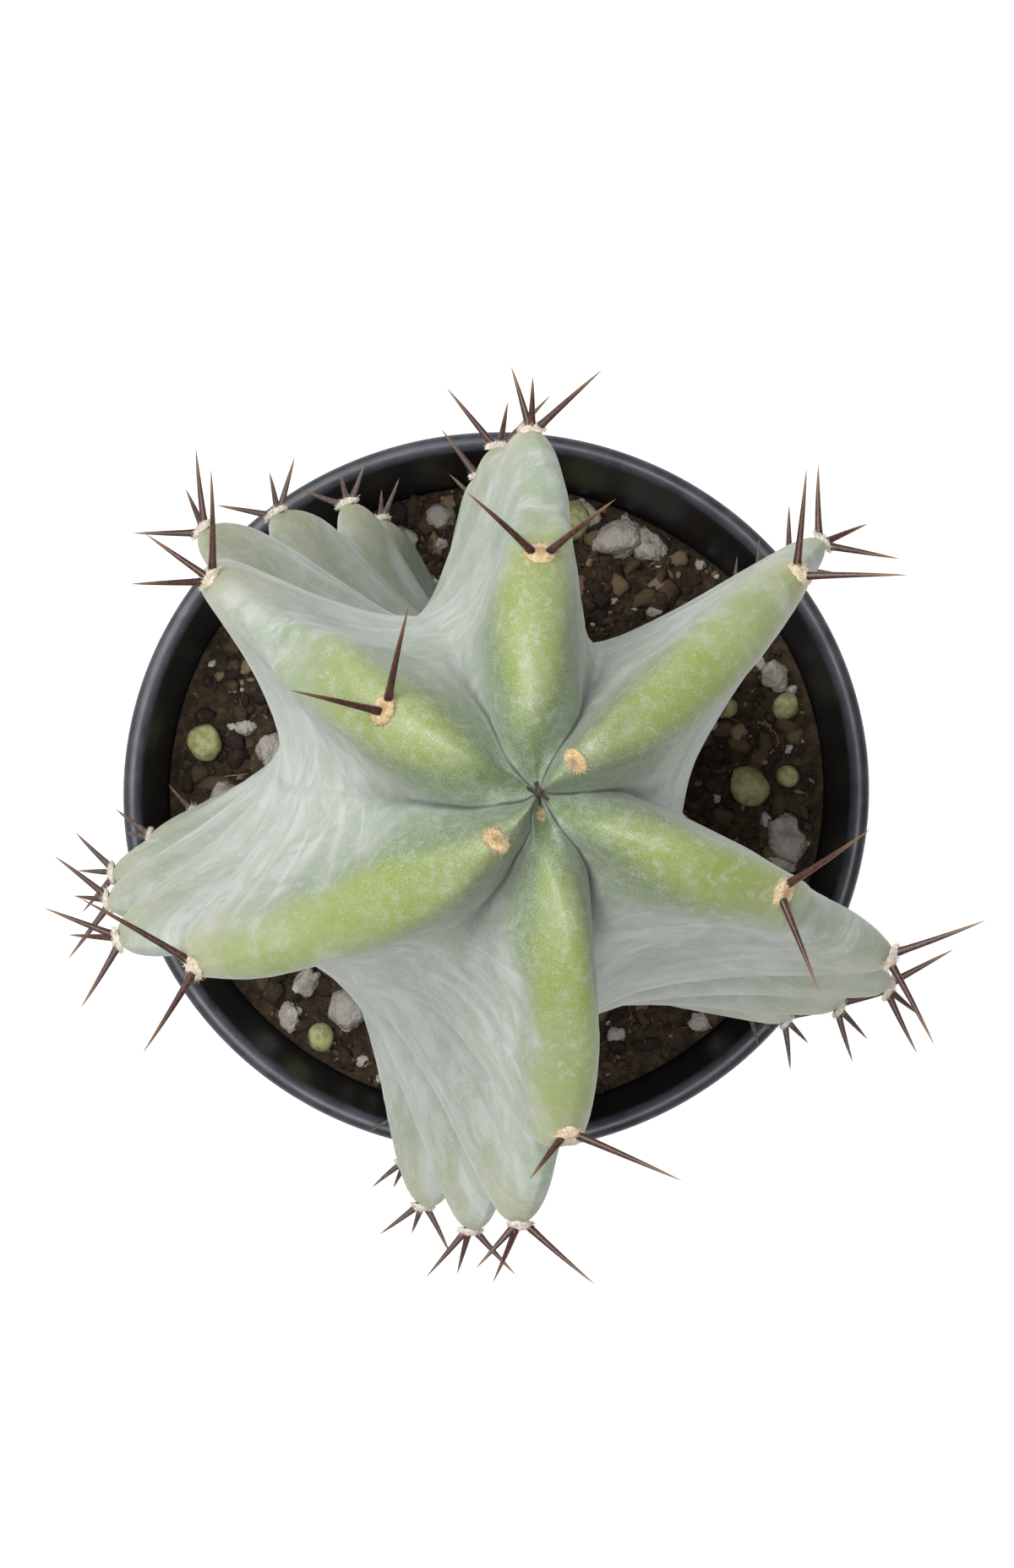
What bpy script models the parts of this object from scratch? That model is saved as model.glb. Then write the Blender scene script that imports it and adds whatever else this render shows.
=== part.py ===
"""A potted organ pipe cactus: one six-ribbed columnar stem in a round nursery pot of potting mix.

Sizes are in millimetres and are turned into metres when a mesh is made. +Z is up, and the
origin is the middle of the pot's underside. Azimuths are in degrees, anticlockwise from +X
as seen from above.
"""
import math
import random

import bmesh
import bpy
import numpy as np
from mathutils import Matrix, Vector

METRE = 0.001
GAP = 0.3
SEED = 41

# Pot: round at the foot, pulled slightly oval at the rim.
POT_HEIGHT = 92.0
RIM_RADIUS = 54.3
RIM_OVAL = 0.018
RIM_OVAL_AZIMUTH = 6.5
LIP_WIDTH = 2.8
LIP_HEIGHT = 3.4
BAND_DROP = 15.0
BAND_STEP = 1.0
WALL = 1.2
FOOT_RADIUS = 40.0
FOOT_RING_WIDTH = 4.5
CENTRE_DISC_RADIUS = 15.0
CHANNEL_RISE = 2.0
DRAIN_COUNT = 6
DRAIN_RADIUS = 3.6
POT_SIDES = 48

# Potting mix: it lies lower towards the far wall, between the two distances of DIP_REACH.
SOIL_LEVEL = 75.0
SOIL_ROUGHNESS = 0.7
SOIL_DIP = 8.0
DIP_REACH = (20.0, 46.0)
SOIL_RINGS = 6
CRUMB_COUNT = 14
PERLITE_COUNT = 8

# Stem: one meridian along the crest of a rib and one along a furrow, as (radius, height).
CREST_LINE = (
    (0.5, 217.9), (7.0, 223.0), (14.0, 222.5), (22.0, 219.5), (31.0, 214.0), (39.0, 207.0),
    (45.0, 198.0), (49.0, 188.0), (51.5, 176.0), (53.0, 163.0), (53.0, 150.0), (52.5, 137.0),
    (51.0, 122.0), (48.5, 107.0), (45.5, 94.0), (42.5, 85.5), (40.5, 80.5),
)
FURROW_LINE = (
    (0.4, 215.0), (4.5, 217.0), (8.5, 215.4), (12.5, 211.4), (16.5, 205.2), (20.0, 197.0),
    (23.0, 187.0), (25.0, 176.0), (26.3, 164.0), (27.0, 152.0), (27.2, 140.0), (27.2, 128.0),
    (27.0, 116.0), (26.8, 105.0), (26.4, 94.0), (26.0, 86.5), (25.9, 81.5),
)

# Arc lengths run down the crest from the growing tip; the middle line bows by height.
ARC_START = 0.6
ARC_STATIONS = (3.0, 8.0, 14.0, 24.0, 45.0, 78.0, 105.0, 130.0, 170.0)
AXIS_HEIGHTS = (75.0, 130.0, 150.0, 178.0, 200.0, 211.0, 214.5)
AXIS_X = (-1.0, -2.5, -1.0, 1.0, 3.0, 4.1, 5.2)
AXIS_Y = (-3.0, -5.5, -5.0, -3.0, -0.8, -0.35, 0.25)

# Each rib: its azimuth at the arc stations, its reach there against the common crest line, where
# its areoles sit along its crest, how far it rises beside the growing tip, and where its deepest
# notch lies on the way from one areole (0) to the next one down (1).
RIBS = (
    {"azimuth": (100, 98, 94, 91, 86.5, 90, 91, 89, 87),
     "reach": (1, 1, 1, 1, 1.02, 0.9, 0.88, 0.88, 0.92),
     "areoles": (30, 57, 82, 107, 131, 153), "rise": -2.3, "notch": 0.3},
    {"azimuth": (151, 152, 152.5, 152, 147, 138, 125, 112, 107),
     "reach": (1, 1, 1, 1, 1, 1.01, 0.95, 0.95, 0.98),
     "areoles": (22, 56, 83, 108, 131, 153), "rise": -2.3, "notch": 0.6},
    {"azimuth": (236, 228, 223, 216.5, 208.5, 197.5, 190, 185.5, 179),
     "reach": (1, 1, 1, 1, 1.04, 0.97, 0.95, 0.97, 0.98),
     "areoles": (9, 50, 78, 103, 126, 148, 166), "rise": 1.7, "notch": 0.3},
    {"azimuth": (277, 278, 281, 281, 277, 270.5, 265.5, 259, 254),
     "reach": (1, 1, 1, 1, 1.03, 0.99, 0.97, 0.98, 1),
     "areoles": (44, 71, 97, 121, 143, 163), "rise": -2.3, "notch": 0.3},
    {"azimuth": (322, 330, 336, 338, 338, 338, 335, 329, 323),
     "reach": (1, 1, 1, 1, 1.04, 1.03, 0.99, 0.98, 1),
     "areoles": (33, 60, 86, 110, 133, 155), "rise": -2.3, "notch": 0.3},
    {"azimuth": (403, 401, 398, 398, 399.5, 401, 401, 401, 401),
     "reach": (1, 1, 1, 1.01, 1.05, 1.01, 0.97, 0.97, 0.97),
     "areoles": (7, 46, 74, 100, 124, 146, 165), "rise": 1.8, "notch": 0.3},
)

# Each furrow, after the rib of the same place: its swing off the middle line at the arc
# stations, in degrees, and its radius against the common furrow line.
FURROWS = (
    {"swing": (18, 11, 4, -2, -4, -3, 0, 0, 0), "scale": 1.08},
    {"swing": (16.5, 7, 5, -2, -2.5, 0, 0, 0, 0), "scale": 1.08},
    {"swing": (-12, 4, -2, -1, -1, -6, -5, -3, 0), "scale": 1.03},
    {"swing": (0, -3, -4, -8, -13, -11, -8, -6, -4), "scale": 1.04},
    {"swing": (-6, -6, -5, -7, -10, -6, -3, 0, 0), "scale": 0.90},
    {"swing": (0, -2, -4, -4, -2, -2, 0, 0, 0), "scale": 0.98},
)

# Section of a rib from crest to furrow: share of the ridge's own half width, share of the
# remaining way to the furrow, and share of the rib's height.
FLANK = (
    (0.0, 0.0, 1.0), (0.55, 0.0, 0.975), (0.92, 0.03, 0.89), (1.0, 0.15, 0.71), (1.0, 0.36, 0.44),
    (1.0, 0.67, 0.16), (1.0, 1.0, 0.0),
)
FLANK_STEPS = (0.0, 0.18, 0.36, 0.56, 0.78, 1.0)

# The ridge's half width along the arc, how far it narrows at an areole and over what reach, and
# how much narrower the flanks are behind a notch.
RIDGE_ARCS = (8.0, 16.0, 32.0, 50.0, 75.0)
RIDGE_HALF_WIDTHS = (3.4, 4.5, 4.2, 3.3, 2.9)
RIDGE_PINCH = 0.2
GROOVE_SHARE = 0.42
PINCH_REACH = 6.5

# Growing tip: how far the rise reaches down a rib, and the blunt end of the ribs that rise.
RISE_REACH = 14.0
BLUNT_RISE = 1.8
BLUNT_REACH = 4.5
BLUNT_DROP = 4.5
BLUNT_EDGE = 0.8

# Ribs are full pillows at the tip and thin fins lower down, notched deeper with age.
LOBE_START = 10.0
LOBE_END = 44.0
BUMP_YOUNG = 1.6
BUMP_OLD = 7.6
BUMP_GROWTH = (20.0, 80.0)
NOTCH_SHARPNESS = 1.4
FOLD_SLOPE = 16.0
STEM_ROWS = 44
TIP_CROWDING = 1.12

# The stem's foot: (radius, height) of the rings below its last row, down to the buried end.
FOOT_RINGS = ((36.0, 78.0), (29.5, 76.5), (25.4, 75.4), (24.8, 73.5), (20.5, 61.0), (14.0, 53.0))
HOLE_CLEARANCE = 0.5

# Areole pads and spines.
PAD_RADII = (1.5, 1.75, 1.6)
PAD_HEIGHT = 1.0
PAD_SINK = 1.3
PAD_SIDES = 6
SPINE_RADIUS = 0.52
SPINE_SIDES = 4
SPINE_SINK = 1.6
BARE_ARC = 12.0
YOUNG_ARC = 40.0
GROWN_ARC = 65.0
LOW_HEIGHT = 100.0

# Spines of the upper areoles, by rib and areole: (swing off the rib, lift above level, length).
UPPER_SPINES = {
    (0, 0): ((50, 32, 11.5), (-53, 32, 11.0)),
    (0, 1): ((19, 10, 7.5), (1, 30, 6.5), (-47, 20, 10.5)),
    (1, 0): ((-76, 32, 12.5), (15, 32, 12.0)),
    (1, 1): ((-55, 20, 12.5), (39, 20, 9.0), (1, 0, 9.0)),
    (2, 1): ((-58, 15, 15.0), (32, 20, 11.5)),
    (3, 0): ((61, 20, 13.5), (-47, 25, 6.5)),
    (3, 1): ((48, 10, 11.0), (-44, 0, 7.0), (-24, -20, 8.5)),
    (4, 0): ((58, 30, 12.5), (-48, 25, 12.0)),
    (4, 1): ((43, 15, 11.5), (-41, 15, 11.0)),
    (5, 1): ((46, 15, 11.5), (-40, 15, 12.0)),
}


def catmull(points, place):
    """Smooth curve through points; place runs from 0 to len(points) - 1."""
    last = len(points) - 1
    index = min(int(place), last - 1)
    part = place - index
    before = np.array(points[max(index - 1, 0)], float)
    start = np.array(points[index], float)
    end = np.array(points[index + 1], float)
    after = np.array(points[min(index + 2, last)], float)
    slope_in = (end - before) / 2
    slope_out = (after - start) / 2
    square = part * part
    cube = square * part
    return ((2 * cube - 3 * square + 1) * start + (cube - 2 * square + part) * slope_in
            + (3 * square - 2 * cube) * end + (cube - square) * slope_out)


def smooth_step(value):
    value = min(max(value, 0.0), 1.0)
    return value * value * (3 - 2 * value)


def arc_table():
    """Arc length along the crest line at even places, with the places."""
    places = np.linspace(0, len(CREST_LINE) - 1, 600)
    points = np.array([catmull(CREST_LINE, place) for place in places])
    lengths = np.hypot(*np.diff(points, axis=0).T)
    arcs = ARC_START + np.concatenate(([0.0], np.cumsum(lengths)))
    return arcs, places


ARCS, PLACES = arc_table()


def place_at_arc(arc):
    return float(np.interp(arc, ARCS, PLACES))


def arc_at_place(place):
    return float(np.interp(place, PLACES, ARCS))


def axis_at(height):
    """The stem's bowed middle line."""
    x = float(np.interp(height, AXIS_HEIGHTS, AXIS_X))
    y = float(np.interp(height, AXIS_HEIGHTS, AXIS_Y))
    return np.array((x, y, 0.0))


def radial(azimuth):
    angle = math.radians(azimuth)
    return np.array((math.cos(angle), math.sin(angle), 0.0))


def station_value(values, arc):
    return float(np.interp(arc, ARC_STATIONS, values))


def rib_azimuth(rib, arc):
    return station_value(RIBS[rib]["azimuth"], arc)


def furrow_azimuth(furrow, arc):
    here = rib_azimuth(furrow, arc)
    following = rib_azimuth((furrow + 1) % len(RIBS), arc)
    if following < here:
        following += 360.0
    swing = station_value(FURROWS[furrow]["swing"], arc)
    return (here + following) / 2 + swing


def bump_phase(rib, arc):
    """How far arc lies from one areole (0) to the next one down (1), and the span in mm."""
    stops = list(RIBS[rib]["areoles"])
    stops.insert(0, stops[0] - 60.0)
    stops.append(stops[-1] + 24.0)
    index = int(np.searchsorted(stops, arc, side="right")) - 1
    index = min(max(index, 0), len(stops) - 2)
    span = stops[index + 1] - stops[index]
    return min(max((arc - stops[index]) / span, 0.0), 1.0), span


def bump_height(rib, arc):
    """Depth below the crest line: none at an areole, deepest at the notch between two."""
    phase, _span = bump_phase(rib, arc)
    growth = smooth_step((arc - BUMP_GROWTH[0]) / (BUMP_GROWTH[1] - BUMP_GROWTH[0]))
    size = BUMP_YOUNG + (BUMP_OLD - BUMP_YOUNG) * growth
    notch = RIBS[rib]["notch"]
    if phase < notch:
        return -size * smooth_step(phase / notch) ** NOTCH_SHARPNESS
    return -size * smooth_step((1 - phase) / (1 - notch)) ** NOTCH_SHARPNESS


def ridge_pinch(rib, arc):
    """The ridge is narrow at each areole and full between them."""
    phase, span = bump_phase(rib, arc)
    reach = min(phase, 1 - phase) * span / PINCH_REACH
    return 1 - RIDGE_PINCH * math.exp(-reach * reach)


def meridian(line, place):
    """Point and outward normal of a meridian in its own (radius, height) plane."""
    point = catmull(line, place)
    step = 0.05
    low = catmull(line, max(place - step, 0.0))
    high = catmull(line, min(place + step, len(line) - 1))
    run = high - low
    normal = np.array((-run[1], run[0])) / np.hypot(*run)
    return point, normal


def crest_base(rib, place):
    point, normal = meridian(CREST_LINE, place)
    arc = arc_at_place(place)
    point[0] *= station_value(RIBS[rib]["reach"], arc)
    rise = RIBS[rib]["rise"]
    point[1] += rise * math.exp(-(arc / RISE_REACH) ** 2)
    if rise > 0:
        point[1] += BLUNT_RISE * math.exp(-(arc / BLUNT_REACH) ** 2)
        point[1] -= BLUNT_DROP * math.exp(-((arc - ARCS[0]) / BLUNT_EDGE) ** 2)
    return point, normal


def furrow_point(furrow, place):
    point = catmull(FURROW_LINE, place)
    scale = 1 + (FURROWS[furrow]["scale"] - 1) * smooth_step(place / 5)
    azimuth = furrow_azimuth(furrow, arc_at_place(place))
    position = radial(azimuth) * point[0] * scale + axis_at(point[1])
    position[2] = point[1]
    return position


def stem_point(rib, side, step, place):
    """A point of the rib's surface: step 0 is its crest, step 1 its furrow on that side."""
    arc = arc_at_place(place)
    point, normal = crest_base(rib, place)
    out = radial(rib_azimuth(rib, arc))
    across = np.array((-out[1], out[0], 0.0)) * side
    middle = axis_at(point[1])
    furrow = furrow_point(rib if side > 0 else rib - 1, place) - middle
    furrow_out = float(furrow @ out)
    furrow_across = float(furrow @ across)
    ridge, rest, height = catmull(FLANK, step * (len(FLANK) - 1))
    fold_arc = arc - FOLD_SLOPE * step ** 1.5
    width = float(np.interp(arc, RIDGE_ARCS, RIDGE_HALF_WIDTHS))
    width = min(width, 0.7 * furrow_across) * ridge_pinch(rib, fold_arc)
    fin_across = width * ridge + (furrow_across - width) * rest
    lobe = 1 - smooth_step((arc - LOBE_START) / (LOBE_END - LOBE_START))
    lobe_across = furrow_across * math.sin(step * math.pi / 2)
    lobe_height = math.cos(step * math.pi / 2) ** 0.7 if step < 1 else 0.0
    sideways = lobe * lobe_across + (1 - lobe) * fin_across
    share = lobe * lobe_height + (1 - lobe) * height
    dip = bump_height(rib, fold_arc)
    bump = dip * share ** 0.7 if share > 0 else 0.0
    sideways *= 1 + (1 - lobe) * GROOVE_SHARE * dip / BUMP_OLD * 4 * step * (1 - step)
    outward = furrow_out + (point[0] - furrow_out) * share + bump * normal[0]
    level = furrow[2] + (point[1] - furrow[2]) * share + bump * normal[1]
    position = middle + out * outward + across * sideways
    position[2] = level
    return position


def stem_ring(place):
    """The stem's section at one place, anticlockwise, starting at the first rib's crest."""
    ring = []
    for rib in range(len(RIBS)):
        for step in FLANK_STEPS:
            ring.append(stem_point(rib, 1, step, place))
        following = (rib + 1) % len(RIBS)
        for step in FLANK_STEPS[-2:0:-1]:
            ring.append(stem_point(following, -1, step, place))
    return ring


def foot_ring(last_ring, radius, height):
    """A ring below the stem's last row, drawn in to a circle about the foot."""
    middle = axis_at(SOIL_LEVEL)
    ring = []
    for point in last_ring:
        flat = np.array((point[0], point[1], 0.0)) - middle
        reach = min(np.hypot(flat[0], flat[1]), radius)
        if height < SOIL_LEVEL + 1:
            reach = radius
        place = middle + flat / np.hypot(flat[0], flat[1]) * reach
        ring.append(np.array((place[0], place[1], height)))
    return ring


def loft(bm, rings, peak=0.0):
    """Skin a list of equal rings and cap both ends; the last cap's middle stands peak proud."""
    rows = [[bm.verts.new(Vector(point) * METRE) for point in ring] for ring in rings]
    for upper, lower in zip(rows, rows[1:]):
        count = len(upper)
        for index in range(count):
            following = (index + 1) % count
            bm.faces.new((upper[index], lower[index], lower[following], upper[following]))
    for row, flip in ((rows[0], False), (rows[-1], True)):
        centre = bm.verts.new(sum((vert.co for vert in row), Vector()) / len(row))
        centre.co.z += peak * METRE if flip else 0.0
        for index, vert in enumerate(row):
            following = row[(index + 1) % len(row)]
            corners = (centre, following, vert) if flip else (centre, vert, following)
            bm.faces.new(corners)


def make_object(name, bm, material):
    bmesh.ops.recalc_face_normals(bm, faces=bm.faces)
    bmesh.ops.triangulate(bm, faces=bm.faces)
    mesh = bpy.data.meshes.new(name)
    bm.to_mesh(mesh)
    bm.free()
    mesh.shade_smooth()
    mesh.set_sharp_from_angle(angle=math.radians(50))
    item = bpy.data.objects.new(name, mesh)
    bpy.context.scene.collection.objects.link(item)
    mesh.materials.append(material)
    return item


def make_material(name, colour, roughness):
    material = bpy.data.materials.new(name)
    material.use_nodes = True
    shader = material.node_tree.nodes["Principled BSDF"]
    shader.inputs["Base Color"].default_value = (*colour, 1.0)
    shader.inputs["Roughness"].default_value = roughness
    shader.inputs["Metallic"].default_value = 0.0
    return material


def join_all(item, extras, name):
    """Union a list of closed objects into item with one Boolean, then remove them."""
    group = bpy.data.collections.new(name)
    bpy.context.scene.collection.children.link(group)
    for extra in extras:
        group.objects.link(extra)
        bpy.context.scene.collection.objects.unlink(extra)
    union = item.modifiers.new(name, "BOOLEAN")
    union.operation = "UNION"
    union.operand_type = "COLLECTION"
    union.collection = group
    union.solver = "EXACT"
    bpy.context.view_layer.update()
    graph = bpy.context.evaluated_depsgraph_get()
    joined = bpy.data.meshes.new_from_object(item.evaluated_get(graph))
    item.modifiers.remove(union)
    item.data = joined
    for extra in extras:
        bpy.data.objects.remove(extra)
    bpy.data.collections.remove(group)


def wall_radius(radius, height, azimuth):
    """Radius of a pot ring at one azimuth, more oval the nearer it is to the rim."""
    swing = math.radians(2 * (azimuth - RIM_OVAL_AZIMUTH))
    return radius * (1 + RIM_OVAL * height / POT_HEIGHT * math.cos(swing))


def pot_ring(radius, height):
    ring = []
    for index in range(POT_SIDES):
        azimuth = 360.0 * index / POT_SIDES
        point = radial(azimuth) * wall_radius(radius, height, azimuth)
        point[2] = height
        ring.append(point)
    return ring


def inner_radius(height):
    """Inside of the pot's wall, from the floor up to the lip."""
    low = FOOT_RADIUS - WALL
    high = RIM_RADIUS - LIP_WIDTH
    return low + (high - low) * height / (POT_HEIGHT - LIP_HEIGHT)


def pot_profile():
    """The pot's wall as one outline, from the underside out, up, over the lip and down inside."""
    foot_inner = FOOT_RADIUS - FOOT_RING_WIDTH
    channel_inner = CENTRE_DISC_RADIUS + 2.0
    channel_outer = foot_inner - 1.0
    floor = CHANNEL_RISE + WALL
    band = POT_HEIGHT - BAND_DROP
    band_radius = inner_radius(band) + WALL
    under_lip = POT_HEIGHT - LIP_HEIGHT
    outside = [
        (CENTRE_DISC_RADIUS, 0.0), (channel_inner, CHANNEL_RISE), (channel_outer, CHANNEL_RISE),
        (foot_inner, 0.0), (FOOT_RADIUS - 0.8, 0.0), (FOOT_RADIUS, 1.0), (band_radius, band),
        (band_radius + BAND_STEP, band + 1.2), (inner_radius(under_lip) + WALL + 0.6, under_lip),
        (RIM_RADIUS - 0.25, under_lip + 0.4), (RIM_RADIUS, POT_HEIGHT - 1.6),
        (RIM_RADIUS - 0.5, POT_HEIGHT - 0.45), (RIM_RADIUS - 1.4, POT_HEIGHT),
        (RIM_RADIUS - 2.3, POT_HEIGHT - 0.4), (RIM_RADIUS - LIP_WIDTH, POT_HEIGHT - 1.6),
    ]
    inside = [(inner_radius(band), band), (inner_radius(floor + 2.0), floor + 2.0),
              (inner_radius(floor) - 1.5, floor)]
    return outside + inside


def drain_cutters():
    """Upright plugs through the raised channel of the pot's floor."""
    cutters = []
    circle = (CENTRE_DISC_RADIUS + FOOT_RADIUS - FOOT_RING_WIDTH) / 2 + 0.5
    for index in range(DRAIN_COUNT):
        centre = radial(360.0 * (index + 0.5) / DRAIN_COUNT) * circle
        bm = bmesh.new()
        bmesh.ops.create_cone(
            bm, cap_ends=True, segments=10, radius1=DRAIN_RADIUS * METRE,
            radius2=DRAIN_RADIUS * METRE, depth=8 * METRE,
            matrix=Matrix.Translation(Vector((centre[0], centre[1], CHANNEL_RISE)) * METRE))
        mesh = bpy.data.meshes.new("drain")
        bm.to_mesh(mesh)
        bm.free()
        cutters.append(bpy.data.objects.new("drain", mesh))
    return cutters


def build_pot():
    bm = bmesh.new()
    loft(bm, [pot_ring(radius, height) for radius, height in pot_profile()])
    pot = make_object("pot", bm, make_material("black_plastic", (0.018, 0.019, 0.022), 0.42))
    group = bpy.data.collections.new("drains")
    bpy.context.scene.collection.children.link(group)
    cutters = drain_cutters()
    for cutter in cutters:
        group.objects.link(cutter)
    cut = pot.modifiers.new("drains", "BOOLEAN")
    cut.operation = "DIFFERENCE"
    cut.operand_type = "COLLECTION"
    cut.collection = group
    cut.solver = "EXACT"
    bpy.context.view_layer.update()
    graph = bpy.context.evaluated_depsgraph_get()
    drained = bpy.data.meshes.new_from_object(pot.evaluated_get(graph))
    pot.modifiers.remove(cut)
    pot.data = drained
    for cutter in cutters:
        bpy.data.objects.remove(cutter)
    bpy.data.collections.remove(group)
    return pot


def bed_level(y):
    """Mean surface of the mix: level, then falling away towards the far wall."""
    return SOIL_LEVEL - SOIL_DIP * smooth_step((y - DIP_REACH[0]) / (DIP_REACH[1] - DIP_REACH[0]))


def bed_edge(drop):
    """The mix's edge along the wall, a given drop under its surface there."""
    ring = []
    for index in range(POT_SIDES):
        azimuth = 360.0 * index / POT_SIDES
        level = bed_level(radial(azimuth)[1] * inner_radius(SOIL_LEVEL)) - drop
        point = radial(azimuth) * wall_radius(inner_radius(level) - GAP, level, azimuth)
        point[2] = level
        ring.append(point)
    return ring


def soil_height(x, y):
    """Uneven surface of the potting mix."""
    wave = math.sin(0.33 * x + 1.1) * math.cos(0.41 * y - 0.6) + 0.6 * math.sin(0.7 * x - 0.5 * y)
    return bed_level(y) + SOIL_ROUGHNESS * 0.45 * wave


def soil_rings():
    """Rings of the soil: under it, up the wall, in over the top and down into the stem's hole."""
    floor = CHANNEL_RISE + WALL + GAP
    rings = [pot_ring(inner_radius(floor) - 4.0, floor)]
    rings += [pot_ring(inner_radius(height) - GAP, height) for height in (floor + 4.0, 40.0)]
    rings.append(bed_edge(1.5))
    rim = bed_edge(0.4)
    mouth = hole_ring(FOOT_RINGS[2][0] + HOLE_CLEARANCE, SOIL_LEVEL - 0.4)
    for index in range(SOIL_RINGS + 1):
        share = index / SOIL_RINGS
        ring = []
        for outer, inner in zip(rim, mouth):
            point = outer + (inner - outer) * share
            inset = min(6 * share, 6 - 6 * share, 1.0)
            base = point[2]
            point[2] = base + (soil_height(point[0], point[1]) - base) * inset
            ring.append(point)
        rings.append(ring)
    for radius, height in FOOT_RINGS[3:]:
        drop = GAP if (radius, height) == FOOT_RINGS[-1] else 0.0
        rings.append(hole_ring(radius + HOLE_CLEARANCE, height - drop))
    return rings


def hole_ring(radius, height):
    middle = axis_at(SOIL_LEVEL)
    ring = []
    for index in range(POT_SIDES):
        point = middle + radial(360.0 * index / POT_SIDES) * radius
        point[2] = height
        ring.append(point)
    return ring


def lump(chance, x, y, size, flat):
    """One rough grain, sunk into the soil."""
    bm = bmesh.new()
    bmesh.ops.create_uvsphere(bm, u_segments=6, v_segments=4, radius=size * METRE)
    for vert in bm.verts:
        vert.co *= chance.uniform(0.82, 1.12)
        vert.co.z *= flat
    turn = Matrix.Rotation(chance.uniform(0, math.tau), 4, "Z")
    height = soil_height(x, y) + size * flat * 0.25
    place = Matrix.Translation(Vector((x, y, height)) * METRE)
    bm.transform(place @ turn)
    return make_object("grain", bm, bpy.data.materials["potting_mix"])


def grain_spots(chance, count):
    """Spots on the open soil between the ribs' feet, spread over the furrows."""
    spots = []
    for index in range(count):
        furrow = index % len(FURROWS)
        last = ARC_STATIONS[-1]
        here = rib_azimuth(furrow, last)
        following = rib_azimuth((furrow + 1) % len(RIBS), last)
        if following < here:
            following += 360
        room = max((following - here) / 2 - 14.0, 2.0)
        azimuth = (here + following) / 2 + chance.uniform(-room, room)
        x, y, _z = radial(azimuth) * chance.uniform(37.0, 45.5)
        shrink = inner_radius(bed_level(y)) / inner_radius(SOIL_LEVEL)
        spots.append((x * shrink, y * shrink))
    return spots


def build_soil():
    bm = bmesh.new()
    loft(bm, soil_rings())
    soil = make_object("soil", bm, make_material("potting_mix", (0.055, 0.033, 0.022), 0.95))
    chance = random.Random(SEED)
    grains = []
    for x, y in grain_spots(chance, PERLITE_COUNT):
        grains.append(lump(chance, x, y, chance.uniform(1.8, 2.9), 0.75))
    for x, y in grain_spots(chance, CRUMB_COUNT):
        grains.append(lump(chance, x, y, chance.uniform(1.2, 2.2), 0.7))
    join_all(soil, grains, "grains")
    return soil


def areole_frame(rib, arc):
    """Position, outward normal and rib azimuth of an areole on its crest."""
    place = place_at_arc(arc)
    _point, normal = crest_base(rib, place)
    azimuth = rib_azimuth(rib, arc)
    outward = radial(azimuth) * normal[0] + np.array((0.0, 0.0, normal[1]))
    return stem_point(rib, 1, 0.0, place), outward / np.linalg.norm(outward), azimuth


def areole_pad(position, outward, reach):
    """A low round cushion, its back sunk into the ridge."""
    bm = bmesh.new()
    rings = []
    for radius, height in ((reach, -PAD_SINK), (reach, 0.4 * PAD_HEIGHT)):
        ring = []
        for index in range(PAD_SIDES):
            angle = math.tau * (index + 0.5) / PAD_SIDES
            ring.append((radius * math.cos(angle), radius * math.sin(angle), height))
        rings.append(ring)
    loft(bm, rings, peak=0.6 * PAD_HEIGHT)
    turn = Vector(outward).to_track_quat("Z", "Y").to_matrix().to_4x4()
    bm.transform(Matrix.Translation(Vector(position) * METRE) @ turn)
    return make_object("pad", bm, bpy.data.materials["cactus_skin"])


def spine(position, direction, length):
    """A straight needle: a thick root, then an even taper to the point."""
    bm = bmesh.new()
    root = [(SPINE_RADIUS * math.cos(math.tau * index / SPINE_SIDES),
             SPINE_RADIUS * math.sin(math.tau * index / SPINE_SIDES)) for index in range(SPINE_SIDES)]
    low = [bm.verts.new(Vector((x, y, -SPINE_SINK)) * METRE) for x, y in root]
    waist = [bm.verts.new(Vector((x * 0.85, y * 0.85, 0.22 * length)) * METRE) for x, y in root]
    tip = bm.verts.new(Vector((0, 0, length)) * METRE)
    for index in range(SPINE_SIDES):
        following = (index + 1) % SPINE_SIDES
        bm.faces.new((low[index], low[following], waist[following], waist[index]))
        bm.faces.new((waist[index], waist[following], tip))
    bm.faces.new(low[::-1])
    turn = Vector(direction).to_track_quat("Z", "Y").to_matrix().to_4x4()
    bm.transform(Matrix.Translation(Vector(position) * METRE) @ turn)
    return make_object("spine", bm, bpy.data.materials["cactus_skin"])


def spine_set(chance, rib, index, height):
    """Swing off the rib's azimuth, lift above level and length of each spine of an areole."""
    arc = RIBS[rib]["areoles"][index]
    if (rib, index) in UPPER_SPINES:
        return UPPER_SPINES[(rib, index)]
    if arc < BARE_ARC:
        return ()
    age = smooth_step((arc - GROWN_ARC) / 80.0)
    length = 9.5 - 3.5 * age
    plan = [(-45, 6, length), (44, 6, length), (-16, -22, 0.75 * length)]
    if height < LOW_HEIGHT:
        plan = [(-48, 14, 5.0), (46, 14, 5.0)]
    return [(swing + chance.uniform(-8, 8), lift + chance.uniform(-7, 7),
             size * chance.uniform(0.88, 1.1)) for swing, lift, size in plan]


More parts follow.
